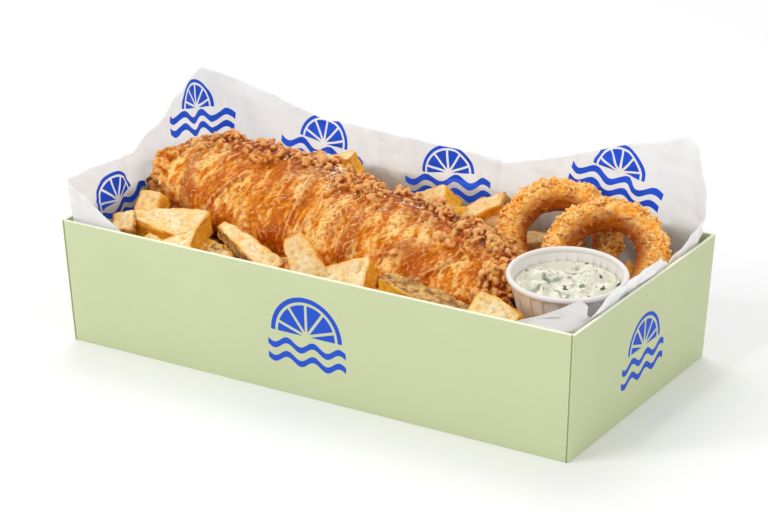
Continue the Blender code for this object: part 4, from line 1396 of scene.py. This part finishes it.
def press_pleats(pot):
    """Each pleat is a flat panel that ends in a small step; the rim and the floor stay smooth."""
    chance = random.Random(3)
    edges = np.cumsum([chance.uniform(0.6, 1.4) for _ in range(POT_PLEATS)])
    edges = edges / edges[-1]
    depths = np.array([chance.uniform(0.7, 1.4) for _ in range(POT_PLEATS + 1)])
    points = points_of(pot)
    turn = (np.arctan2(points[:, 1], points[:, 0]) / (2 * math.pi)) % 1.0
    panel = np.searchsorted(edges, turn)
    starts = np.concatenate(([0.0], edges))
    inside = (turn - starts[panel]) / (starts[panel + 1] - starts[panel])
    step = (inside - 0.5) * depths[panel] * 0.8
    height = points[:, 2] / MM
    radius = np.hypot(points[:, 0], points[:, 1]) / MM
    wall = abs(radius - pot_radius(height)) < 1.3
    fade = (1.0 - ramp(height, POT_HEIGHT - 7.0, POT_HEIGHT - 3.0) * 0.85) * ramp(height, 0.0, 1.0)
    share = 1.0 + np.where(wall & (height < POT_HEIGHT - 2.6), step * fade / np.maximum(radius, 1.0), 0.0)
    points[:, :2] *= share[:, None]
    set_points(pot, points)


# %% Pot put together


def make_pot():
    """One circle, extruded and resized from step to step of the profile."""
    profile = pot_profile()
    bpy.ops.mesh.primitive_circle_add(vertices=POT_SEGMENTS, radius=profile[0][0] * MM, fill_type="NGON")
    pot = named("pleated_pot")
    edit(pot)
    bpy.ops.transform.translate(value=(0, 0, profile[0][1] * MM))
    for (radius, height), (next_radius, next_height) in zip(profile, profile[1:]):
        move = (0, 0, (next_height - height) * MM)
        bpy.ops.mesh.extrude_region_move(TRANSFORM_OT_translate={"value": move})
        bpy.ops.transform.resize(value=(next_radius / radius, next_radius / radius, 1))
    turn_outwards()
    press_pleats(pot)
    pot.data.transform(pot_matrix())
    return pot


# %% [markdown]
# ### Pot paper
#
# White machine-glazed paper, pressed hot: satin and faintly warm. A single white would do for the
# wall, but a soft drift of two whites and a fine bump of fibres tell the eye that it is paper.

# %% Pot paper material


def pot_material():
    paper, shader = new_material("machine-glazed pot paper", Roughness=0.42, IOR=1.47, Specular_IOR_Level=0.4)
    place = add(paper, "TexCoord", output=3)
    cloud = add(paper, "TexNoise", {"Vector": place, "Scale": per_mm(11.11), "Detail": 3.0})
    shade = add(paper, "Mix", {0: cloud, 6: colour("#E2DCD6"), 7: colour("#ECE8E4")}, 2, data_type="RGBA")
    # Real fibres are too fine to show, so these are drawn a millimetre wide.
    fibre = add(paper, "TexNoise", {"Vector": place, "Scale": per_mm(1.111), "Detail": 2.0})
    relief = add(paper, "Bump", {"Height": fibre, "Distance": 0.04 * MM, "Strength": 0.4})
    wire(paper, shader, Base_Color=shade, Normal=relief)
    return paper


finished(make_pot(), pot_material(), "pot_paper", "sauce_pot", angle=50)

# %% [markdown]
# ### Crust beside the pot
#
# Crust that grew where the pot or the liner stands is pressed back, point by point, so that nothing
# pokes through the thin walls. A Boolean would cut it off flat, but a soft crust gives way.

# %% Press back the crust
LINER_GIVE = 0.2


def press_back(piece, gap_mm):
    """Push the points that stand in the pot out to a gap beside it, and all others inside the liner."""
    points = points_of(piece) / MM
    matrix = np.array(pot_matrix())
    local = (points - matrix[:3, 3] / MM) @ matrix[:3, :3]
    height = np.clip(local[:, 2], 0.0, POT_HEIGHT)
    reach = np.where(height > POT_HEIGHT - 3.5, POT_RIM_RADIUS, pot_radius(height) + 0.6) + gap_mm
    radius = np.hypot(local[:, 0], local[:, 1])
    inside = (radius < reach) & (local[:, 2] > -gap_mm) & (local[:, 2] < POT_HEIGHT + gap_mm)
    local[:, :2] *= np.where(inside, reach / np.maximum(radius, 1.0), 1.0)[:, None]
    points = local @ matrix[:3, :3].T + matrix[:3, 3] / MM
    lean = wall_lean(np.clip(points[:, 2], 0.0, TRAY_HEIGHT))
    for axis, inner in enumerate(LINER_INNER):
        half = inner + LINER_GIVE - lean
        points[:, axis] = np.clip(points[:, axis], -half, half)
    set_points(piece, points * MM)


press_back(fish, 0.4)

# %% [markdown]
# ## Tartare sauce
#
# Thick mayonnaise with chopped herbs, gherkin and capers, spooned in so that it stands in soft peaks.
# Sculpting could fold it too. Here a fine grid is rounded to a disc and raised by formula into folds
# and peaks, and its border is pushed down inside the pot to close the body.

# %% Sauce
SAUCE_LEVEL = 24.0
SAUCE_GAP = 0.25
SAUCE_GRID = 120
# How much the sauce narrows for each millimetre it goes down the pot.
SAUCE_TAPER = 0.245
HERB_FLAKES = 46


def make_sauce():
    """The sauce as a closed body that keeps a hair's breadth from the pot."""
    bpy.ops.mesh.primitive_grid_add(x_subdivisions=SAUCE_GRID, y_subdivisions=SAUCE_GRID, size=2)
    sauce = named("tartare_sauce_top")
    x, y, _ = points_of(sauce).T
    disc = np.stack((x * np.sqrt(1 - y * y / 2), y * np.sqrt(1 - x * x / 2), 0 * x), axis=1)
    reach = (pot_radius(SAUCE_LEVEL - 0.8) - POT_WALL - SAUCE_GAP) * MM
    points = disc * reach
    rim = np.linalg.norm(disc, axis=1)
    bent = points + 4.0 * MM * wander(points, 12.0, 61) * (1.0, 1.0, 0.0)
    peaks = 5.4 * lumps(bent, 14.0, 2) ** 1.3 + 2.6 * soft(bent, 11.0, 6) - 2.0
    folds = 2.6 * (0.3 - abs(soft(bent, 7.5, 63))) + 0.4 * soft(points, 2.6, 64)
    level = SAUCE_LEVEL - 0.6 + (peaks + folds) * (1 - ramp(rim, 0.86, 1.0)) + 0.5 * ramp(rim, 0.93, 1.0)
    points[:, 2] = level * MM
    set_points(sauce, points)
    edit(sauce, "DESELECT", "EDGE")
    bpy.ops.mesh.select_non_manifold()
    for depth in (2.0, 8.0, 8.0):
        narrow = 1 - SAUCE_TAPER * depth / (reach / MM)
        bpy.ops.mesh.extrude_region_move(TRANSFORM_OT_translate={"value": (0, 0, -depth * MM)})
        bpy.ops.transform.resize(value=(narrow, narrow, 1))
    bpy.ops.mesh.edge_face_add()
    turn_outwards()
    sauce.data.transform(pot_matrix())
    return sauce


def make_herbs(sauce):
    """Chopped herb and gherkin: thin torn flakes that lie in the sauce's surface."""
    chance = random.Random(12)
    pattern = small_lump("herb_flake", 2, 0.5, 9)
    upright = (normals_of(sauce) @ np.array(pot_matrix().to_3x3())[:, 2]) > 0.5
    places = []
    for point, normal in surface_places(sauce, HERB_FLAKES, chance, upright * 1.0):
        size = chance.uniform(0.25, 0.5) if chance.random() < 0.45 else chance.uniform(0.7, 1.6)
        shape = (size * chance.uniform(0.9, 1.8), size, 0.3)
        places.append((point - normal * chance.uniform(0.12, 0.3) * MM, shape, normal))
    herbs = strew("chopped_herbs", pattern, places, chance)
    bpy.data.objects.remove(pattern)
    return herbs


# %% [markdown]
# ### Mayonnaise and herbs
#
# The emulsion is glossy and lets a little light in, so it gets some scattering below the surface: the
# eye reads that as cream, where a plain white would be plaster. Sunken herb shows as soft grey-green
# clouds, which the colour holds, and the flakes on top are mesh.

# %% Sauce materials


def sauce_material():
    sauce, shader = new_material(
        "mayonnaise with herbs", Roughness=0.24, IOR=1.46, Subsurface_Weight=0.25,
        Subsurface_Radius=(1.0, 0.8, 0.5), Subsurface_Scale=1.6 * MM)
    place = add(sauce, "TexCoord", output=3)
    # Sunken herb lies in clouds 7 mm wide, with bits of 2.4 mm.
    cloudy = {"Vector": place, "Scale": per_mm(6.667), "Detail": 1.5, "Distortion": 0.6}
    cloud = add(sauce, "TexNoise", cloudy)
    sunk = add(sauce, "MapRange", {0: cloud, 1: 0.56, 2: 0.68, 3: 0.0, 4: 0.85})
    fine = add(sauce, "TexNoise", {"Vector": place, "Scale": per_mm(2.381), "Detail": 1.0})
    bits = add(sauce, "MapRange", {0: fine, 1: 0.64, 2: 0.74, 3: 0.0, 4: 0.6})
    shade = add(sauce, "Mix", {0: sunk, 6: colour("#E4E1CE"), 7: colour("#78826A")}, 2, data_type="RGBA")
    shade = add(sauce, "Mix", {0: bits, 6: shade, 7: colour("#75806A")}, 2, data_type="RGBA")
    wire(sauce, shader, Base_Color=shade)
    return sauce


def herb_material():
    """Wet leaf, from dark to pale green within 4 mm."""
    herb, shader = new_material("chopped green herb", Roughness=0.35, IOR=1.45)
    place = add(herb, "TexCoord", output=3)
    cloud = add(herb, "TexNoise", {"Vector": place, "Scale": per_mm(3.846)})
    share = add(herb, "MapRange", {0: cloud, 1: 0.4, 2: 0.6})
    shade = add(herb, "Mix", {0: share, 6: colour("#3D4A36"), 7: colour("#76826A")}, 2, data_type="RGBA")
    wire(herb, shader, Base_Color=shade)
    return herb


sauce = make_sauce()
herbs = make_herbs(sauce)
finished(sauce, sauce_material(), "tartare", "tartare_sauce")
finished(herbs, herb_material(), "tartare")

# %% [markdown]
# ## The chips
#
# Thick-cut chips are cut by hand, so no two are alike. Dropping boxes with rigid body physics would
# heap them, but not as a cook lays them. So the fifteen that show have their own places. Fillers are
# scattered between them, others are buried below, and a bed painted dark as shade under those closes
# the gaps; fillers and buried chips are painted darker as shade too. Each chip starts as a few cross
# sections from end to end: four corners for a baton, five for a wedge. The sections are joined to a
# solid, a voxel remesh rounds its corners as cooking does, and noise dents its faces. A rule keeps
# every filler and buried chip clear of the fish, the rings, the pot and the liner.

# %% Room for chips
CORE_CLEAR_X = 138.0
CORE_CLEAR_Y = 66.0
CORE_LOWEST = 28.0
CORE_MARGIN = 1.6
CLEARANCE = 0.7


def local_to(matrix, points):
    """Points in mm, measured from a piece's own place and turn."""
    inverse = np.array(matrix.inverted())
    return (points * MM) @ inverse[:3, :3].T / MM + inverse[:3, 3] / MM


def blocked(points, margin):
    """True for each point, in mm, that is inside the fish, a ring, the pot or the liner."""
    share = (points[:, 0] - FISH_LEFT[0]) / (FISH_RIGHT[0] - FISH_LEFT[0])
    centre, half_width, half_thickness, wide, deep = fillet_section(np.clip(share, 0.0, 1.0))
    across = np.einsum("ij,ij->i", points - centre, wide) / (half_width + margin)
    through = np.einsum("ij,ij->i", points - centre, deep) / (half_thickness + margin)
    shut = (share > 0) & (share < 1) & (across**2 + through**2 < 1.0)
    for ring in RINGS.values():
        flat = local_to(ring_matrix(ring), points)
        shut |= np.hypot(np.hypot(flat[:, 0], flat[:, 1]) - ring["radius"], flat[:, 2]) < RING_TUBE + margin
    x, y, z = local_to(pot_matrix(), points).T
    reach = np.where(z > POT_HEIGHT - 3.5, POT_RIM_RADIUS, pot_radius(z) + 0.25)
    shut |= (z > -margin) & (z < POT_HEIGHT + margin) & (np.hypot(x, y) < reach + margin)
    lean = wall_lean(points[:, 2])
    for axis, inner in enumerate(LINER_INNER):
        shut |= abs(points[:, axis]) > inner - lean - margin
    return shut


def core_height(x, y):
    """How high the buried chips reach: a level for each part of the tray, kept below the food."""
    level = 50.0
    if y < -38:
        level = 55.0
    if y > 40 and x < 45:
        level = 58.0
    if x < -128:
        level = 46.0
    level += 1.5 * float(soft(np.array([[x, y, 0.0]]) * MM, 14.0, 7)[0])
    heights = np.arange(CORE_LOWEST, level, 1.0)
    column = np.array([(x + dx, y + dy, z) for dx in (-6, 0, 6) for dy in (-6, 0, 6) for z in heights])
    inner = (abs(column[:, 0]) <= CORE_CLEAR_X) & (abs(column[:, 1]) <= CORE_CLEAR_Y)
    stopped = column[blocked(column, CORE_MARGIN) & inner]
    return min(level, stopped[:, 2].min()) if len(stopped) else level


# %% Chips that show
# Start, end, widths and depths at the two ends, roll in degrees, kind, and where its skin faces.
SHOWN_CHIPS = (
    ((-130, -36, 67), (-116, -35, 67), (13, 13), (13, 13), 50, "baton", None),
    ((-129, -63, 63), (-118, -57, 63), (12, 15), (10, 12), 30, "wedge", (0.9, -0.4, 0.1)),
    ((-124, -52, 64), (-83, -47, 61), (8, 27), (12, 17), 22, "baton", None),
    ((-107, -67, 60), (-95, -66, 57), (9, 9), (9, 9), 30, "wedge", None),
    ((-96, -66, 57), (-75, -62, 61), (8, 19), (9, 16), 24, "wedge", None),
    ((-68, -52, 69), (-28, -62, 54), (7, 15), (14, 16), 14, "wedge", (-0.55, -0.8, -0.15)),
    ((-67, -66, 62), (-53, -66, 57), (10, 9), (10, 9), 20, "wedge", (-0.3, 0.2, 1)),
    ((-22, -55, 76), (-3, -62, 54), (12, 19), (10, 12), 40, "baton", None),
    ((-4, -59, 59), (24, -53, 61), (10, 19), (8, 17), 45, "baton", None),
    ((32, -55, 62), (83, -61, 54), (11, 13), (12, 12), 12, "baton", (0, 0.2, 1)),
    ((86, -60, 61), (111, -62, 56), (18, 16), (16, 14), 45, "baton", None),
    ((-84, 57, 63), (-54, 59, 74), (14, 12), (13, 14), 10, "baton", None),
    ((-22, 56, 47), (6, 58, 63), (20, 20), (17, 17), 35, "baton", None),
    ((16, 58, 54), (40, 58, 70), (15, 12), (14, 11), 25, "wedge", (0.7, 0.3, 0.7)),
    ((48, 60, 48), (84, 56, 50), (14, 14), (12, 12), 10, "baton", None),
)

# %% Chip outlines
BATON_CORNERS = ((-0.5, 0.48), (0.49, 0.5), (0.5, -0.48), (-0.48, -0.5))
WEDGE_CORNERS = ((-0.5, 0.5), (0.5, 0.46), (0.4, -0.1), (0.02, -0.5), (-0.42, -0.16))
# Share of the length, and of the full girth there.
CHIP_SECTIONS = ((0.0, 0.86), (0.1, 0.98), (0.4, 1.04), (0.68, 1.04), (0.92, 0.99), (1.0, 0.88))


def chip_loops(start, end, width, depth, roll, kind, seed):
    """Cross sections, in mm, of one chip. Width and depth are one number, or one for each end."""
    start, end = Vector(start), Vector(end)
    along = (end - start).normalized()
    side = along.cross(Vector((0, 0, 1))).normalized()
    turn = Matrix.Rotation(math.radians(roll), 3, along)
    side, up = turn @ side, turn @ side.cross(along)
    corners = WEDGE_CORNERS if kind == "wedge" else BATON_CORNERS
    wide, deep = np.broadcast_to(width, 2), np.broadcast_to(depth, 2)
    loops = []
    for share, girth in CHIP_SECTIONS:
        middle = start.lerp(end, share)
        across = girth * float(np.interp(share, (0, 1), wide))
        through = girth * float(np.interp(share, (0, 1), deep))
        loops.append([middle + side * (a * across) + up * (t * through) for a, t in corners])
    loops = np.array(loops)
    flat = loops.reshape(-1, 3) * MM
    loops[:, :, 0] += 1.3 * soft(flat, 12.0, seed).reshape(loops.shape[:2])
    loops[:, :, 2] += 1.2 * soft(flat, 12.0, seed + 1).reshape(loops.shape[:2])
    return loops, np.array(up)


def chip_is_clear(loops, margin):
    """True when the corners, and the middles of the edges between them, keep clear of the rest."""
    here, there, follower = loops[:-1], loops[1:], np.roll(loops[:-1], -1, axis=1)
    samples = np.concatenate((here, there, (here + there) / 2, (here + follower) / 2))
    return not blocked(samples.reshape(-1, 3), margin).any()


# %% Fillers and buried chips
BURIED_CHIPS = 120
BURIED_HALF = (138, 67)


def filler_chips():
    """Further chips by rule: each strip is strewn with them, as high as its level and the others allow."""
    chance = random.Random(11)
    strips = (
        # low x, high x, low y, high y, highest middle, tries, wanted
        (-128, 128, -60, -50, 49, 60, 9),
        (-128, 36, 52, 61, 55, 60, 7),
        (-134, -128, -34, 50, 51, 30, 4),
        (48, 134, -8, 64, 43, 80, 8),
    )
    chosen = []
    for low_x, high_x, low_y, high_y, highest, tries, wanted in strips:
        found = 0
        for attempt in range(tries):
            middle = Vector((chance.uniform(low_x, high_x), chance.uniform(low_y, high_y), 0.0))
            heading = math.radians(chance.uniform(-28, 28))
            pitch = chance.uniform(-0.12, 0.12)
            half = chance.uniform(17, 27)
            width = chance.uniform(12, 17)
            depth = chance.uniform(10, 14)
            roll = chance.uniform(-35, 35)
            kind = chance.choice(("wedge", "baton", "wedge"))
            along = Vector((math.cos(heading), math.sin(heading), pitch)) * half
            for drop in range(0, 16, 3):
                middle.z = highest - drop
                loops, up = chip_loops(middle - along, middle + along, width, depth, roll, kind, attempt)
                if not chip_is_clear(loops, CLEARANCE):
                    continue
                if loops[:, :, 2].min() < core_height(middle.x, middle.y) + 1.0:
                    chosen.append((loops, up, None))
                    found += 1
                    break
            if found == wanted:
                break
    return chosen


def buried_chips():
    """Chips below the heap's level, lying every way, that show in its gaps."""
    chance = random.Random(21)
    chosen = []
    while len(chosen) < BURIED_CHIPS:
        x, y = (chance.uniform(-half, half) for half in BURIED_HALF)
        heading = math.radians(chance.uniform(-80, 80))
        half = chance.uniform(13, 22)
        along = Vector((math.cos(heading), math.sin(heading), chance.uniform(-0.25, 0.25))) * half
        width, depth, roll = chance.uniform(11, 15), chance.uniform(10, 13), chance.uniform(-60, 60)
        # Nothing shows under the fish.
        if abs(y) < 36 and -125 < x < 60:
            continue
        middle = Vector((x, y, core_height(x, y) - chance.uniform(3.5, 7.5)))
        kind = chance.choice(("wedge", "baton"))
        loops, up = chip_loops(middle - along, middle + along, width, depth, roll, kind, 60 + len(chosen))
        if chip_is_clear(loops, CLEARANCE):
            chosen.append((loops, up, None))
    return chosen


# %% Chip meshes


def edge_distance(points, loops):
    """Distance in mm from each point to the nearest cut edge of the chip."""
    starts = [loops[:-1].reshape(-1, 3), loops[0], loops[-1]]
    ends = [loops[1:].reshape(-1, 3), np.roll(loops[0], -1, axis=0), np.roll(loops[-1], -1, axis=0)]
    nearest = np.full(len(points), 1e3)
    for a, b in zip(np.concatenate(starts), np.concatenate(ends)):
        along = np.clip((points - a) @ (b - a) / max((b - a) @ (b - a), 1e-6), 0.0, 1.0)
        nearest = np.minimum(nearest, np.linalg.norm(points - a - along[:, None] * (b - a), axis=1))
    return nearest


def make_chip(loops, up, skin, voxel_mm, pale, seed):
    """One chip, and the numbers its material reads: pale is 1 for the chips on top, and lower for chips
    painted darker as shade lower in the heap.
    """
    stations, sides, _ = loops.shape
    faces = [tuple(range(sides))[::-1], tuple(range((stations - 1) * sides, stations * sides))]
    for first in range(0, (stations - 1) * sides, sides):
        for i in range(sides):
            j = (i + 1) % sides
            faces.append((first + i, first + j, first + sides + j, first + sides + i))
    chip = mesh_piece("chip", loops.reshape(-1, 3) * MM, faces)
    edit(chip)
    turn_outwards()
    fuse(chip, voxel_mm, 0.5, 3)
    points, normals = points_of(chip), normals_of(chip)
    near = edge_distance(points / MM, loops)
    skinned = np.zeros(len(points))
    if skin is not None:
        facing = normals @ (np.array(skin) / np.linalg.norm(skin))
        skinned = ramp(facing + 0.18 * soft(points, 5.0, seed), 0.5, 0.68)
    dents = 0.6 * soft(points, 7.0, seed) + 0.45 * soft(points, 3.4, seed + 1) - 0.9 * ramp(near, 0.3, 5.0)
    wrinkles = 0.3 - abs(soft(points, 4.4, seed + 2))
    crinkle = (0.7 * wrinkles + 0.3 * soft(points, 2.0, seed + 4)) * ramp(near, 0.4, 2.0)
    swell(chip, dents + crinkle + skinned * 0.6 * soft(points, 3.0, seed + 3))
    chance = random.Random(seed)
    burnt = np.clip(0.75 + 1.2 * soft(points, 9.0, seed + 5), 0.15, 1)
    keep_value(chip, "edge", np.exp(-((near / 1.9) ** 2)) * burnt)
    keep_value(chip, "side", 1.0 - ramp(abs(normals @ up), 0.45, 0.85))
    keep_value(chip, "skin", skinned)
    # Lower chips get a low tone, which the material paints as shade.
    keep_value(chip, "tone", np.full(len(points), pale * (0.82 + 0.18 * chance.random())))
    keep_value(chip, "hollow", np.clip(0.5 + 2.0 * hollows(chip, 4), 0, 1))
    return chip


# %% Heap and the bed painted dark as shade
CORE_SIZE = (284.0, 141.0, 0.0)
CORE_SUNK = 12.0
CORE_DEPTH = 20.0
# What the potato material reads from the bed: browned, darkest and all hollow, painted shade that closes the
# gaps between the chips.
CORE_VALUES = {"edge": 0.9, "side": 0.4, "skin": 0.0, "tone": 0.0, "hollow": 1.0}


def chip_heap(name, chips, voxel_mm, pale, seed):
    """Chips of one kind, made one by one and joined."""
    print(name, "holds", len(chips), "chips")
    return joined(name, [make_chip(*chip, voxel_mm, pale, seed + 7 * i) for i, chip in enumerate(chips)])


def make_core():
    """What lies below the chips that show: a lumpy bed, sunk below the level they lie on and painted dark as
    shade.
    """
    bpy.ops.mesh.primitive_grid_add(x_subdivisions=56, y_subdivisions=28, size=1)
    core = named("buried_chips")
    points = points_of(core) * CORE_SIZE
    heights = np.array([core_height(x, y) for x, y, _ in points])
    points[:, 2] = heights - CORE_SUNK + 1.2 * soft(points * MM, 9.0, 71)
    set_points(core, points * MM)
    # The border goes down, is pressed flat just above the tray's floor, and is closed there.
    edit(core, "DESELECT", "EDGE")
    bpy.ops.mesh.select_non_manifold()
    bpy.ops.mesh.extrude_region_move(TRANSFORM_OT_translate={"value": (0, 0, -CORE_DEPTH * MM)})
    bpy.ops.transform.resize(value=(0.985, 0.985, 0), center_override=(0, 0, 4 * MM))
    bpy.ops.mesh.edge_face_add()
    turn_outwards()
    for name, value in CORE_VALUES.items():
        keep_value(core, name, np.full(len(points_of(core)), value))
    return core


# %% [markdown]
# ### Twice-fried potato
#
# Potato fried until it blisters: pale cream on the faces that look up and down and deeper gold on the
# faces round its sides, which is painted shade, browned along every edge where it dried first, with a
# few dark specks. Its hollows are darkened as painted shade, and the chips lower in the heap and the
# bed below them are painted darker as shade. Where skin was left on it is mottled brown. Wear along
# edges is often drawn with a Bevel or Pointiness node, but those see only the mesh; here each point
# knows its distance to the nearest cut edge. A chip is see-through for a few millimetres, which gives
# the eye a soft, yellow glow where it is thin.

# %% Potato material


def potato_material():
    potato, shader = new_material(
        "fried potato", IOR=1.44, Specular_IOR_Level=0.2, Subsurface_Weight=0.3,
        Subsurface_Radius=(1.0, 0.55, 0.15), Subsurface_Scale=2.5 * MM)
    place = add(potato, "TexCoord", output=3)
    names = ("edge", "side", "skin", "tone", "hollow")
    values = [add(potato, "Attribute", output=2, attribute_name=name) for name in names]
    edge, side, skin, tone, hollow = values
    # Patches of 7 mm, skin mottled at 4 mm, wrinkles 3 mm apart, dark dots 12 mm apart, specks of 2 mm.
    patchy = {"Vector": place, "Scale": per_mm(6.667), "Detail": 5.0, "Roughness": 0.65}
    mottled = {"Vector": place, "Scale": per_mm(4.348), "Detail": 5.0, "Roughness": 0.72}
    wrinkled = {"Vector": place, "Scale": per_mm(3.03), "Detail": 3.0, "Distortion": 1.4}
    specks = {"Vector": place, "Scale": per_mm(1.6667), "Detail": 3.0}
    patterns = [add(potato, "TexNoise", pattern) for pattern in (patchy, mottled, wrinkled, specks)]
    patch, mottle, wrinkle, speck = patterns
    dots = add(potato, "TexVoronoi", {"Vector": place, "Scale": per_mm(11.765), "Randomness": 1.0})
    patches = add(potato, "MapRange", {0: patch, 1: 0.4, 2: 0.62})
    # Painted shade: chips lower in the heap and the bed are darker; the chips on top also differ a little at
    # random.
    heap_shade_and_tone = add(potato, "MapRange", {0: tone, 1: 1.0, 2: 0.0, 3: 0.0, 4: 0.9})
    # Painted shade: the faces round the sides are deeper gold than those that look up and down.
    golden = add(potato, "Math", {0: side, 1: 0.9}, operation="MULTIPLY")
    wrinkles = add(potato, "MapRange", {0: wrinkle, 1: 0.5, 2: 0.62, 3: 0.0, 4: 0.38})
    # Painted shade in the hollows.
    hollow_shade = add(potato, "MapRange", {0: hollow, 1: 0.5, 2: 0.95, 3: 0.0, 4: 0.6})
    toasted = add(potato, "MapRange", {0: edge, 1: 0.1, 2: 0.7, 3: 0.0, 4: 0.7})
    browned = add(potato, "MapRange", {0: edge, 1: 0.66, 2: 0.95, 3: 0.0, 4: 0.8})
    dot = add(potato, "MapRange", {0: dots, 1: 0.075, 2: 0.03, 3: 0.0, 4: 0.7})
    layers = (
        (heap_shade_and_tone, "#C87C0C"),
        (golden, "#FFBC10"),
        (wrinkles, "#EEAE50"),
        (hollow_shade, "#DA8C1E"),
        (toasted, "#F0A210"),
        (browned, "#A2500A"),
        (dot, "#7A4A1E"),
    )
    shade = add(potato, "Mix", {0: patches, 6: colour("#FFEEC4"), 7: colour("#FCDA92")}, 2, data_type="RGBA")
    for factor, code in layers:
        shade = add(potato, "Mix", {0: factor, 6: shade, 7: colour(code)}, 2, data_type="RGBA")
    mottles = add(potato, "MapRange", {0: mottle, 1: 0.42, 2: 0.6})
    peel = add(potato, "Mix", {0: mottles, 6: colour("#8A5420"), 7: colour("#DDB066")}, 2, data_type="RGBA")
    shade = add(potato, "Mix", {0: skin, 6: shade, 7: peel}, 2, data_type="RGBA")
    rough = add(potato, "MapRange", {0: speck, 1: 0.35, 2: 0.7, 3: 0.36, 4: 0.62})
    relief = add(potato, "Math", {0: wrinkle, 1: 2.0, 2: speck}, operation="MULTIPLY_ADD")
    relief = add(potato, "Bump", {"Height": relief, "Distance": 0.5 * MM, "Strength": 0.7})
    wire(potato, shader, Base_Color=shade, Roughness=rough, Normal=relief)
    return potato


shown = []
for number, (*outline, skin) in enumerate(SHOWN_CHIPS):
    shown.append((*chip_loops(*outline, number), skin))
potato = potato_material()
# The chips between are painted a little darker as shade, the buried ones and the bed darker still.
finished(chip_heap("chips_on_top", shown, 1.05, 1.0, 100), potato, "chip_potato", "chips")
finished(chip_heap("chips_between", filler_chips(), 1.4, 0.5, 300), potato, "chip_potato")
finished(chip_heap("chips_below", buried_chips(), 1.9, 0.35, 600), potato, "chip_potato")
finished(make_core(), potato, "chip_potato")
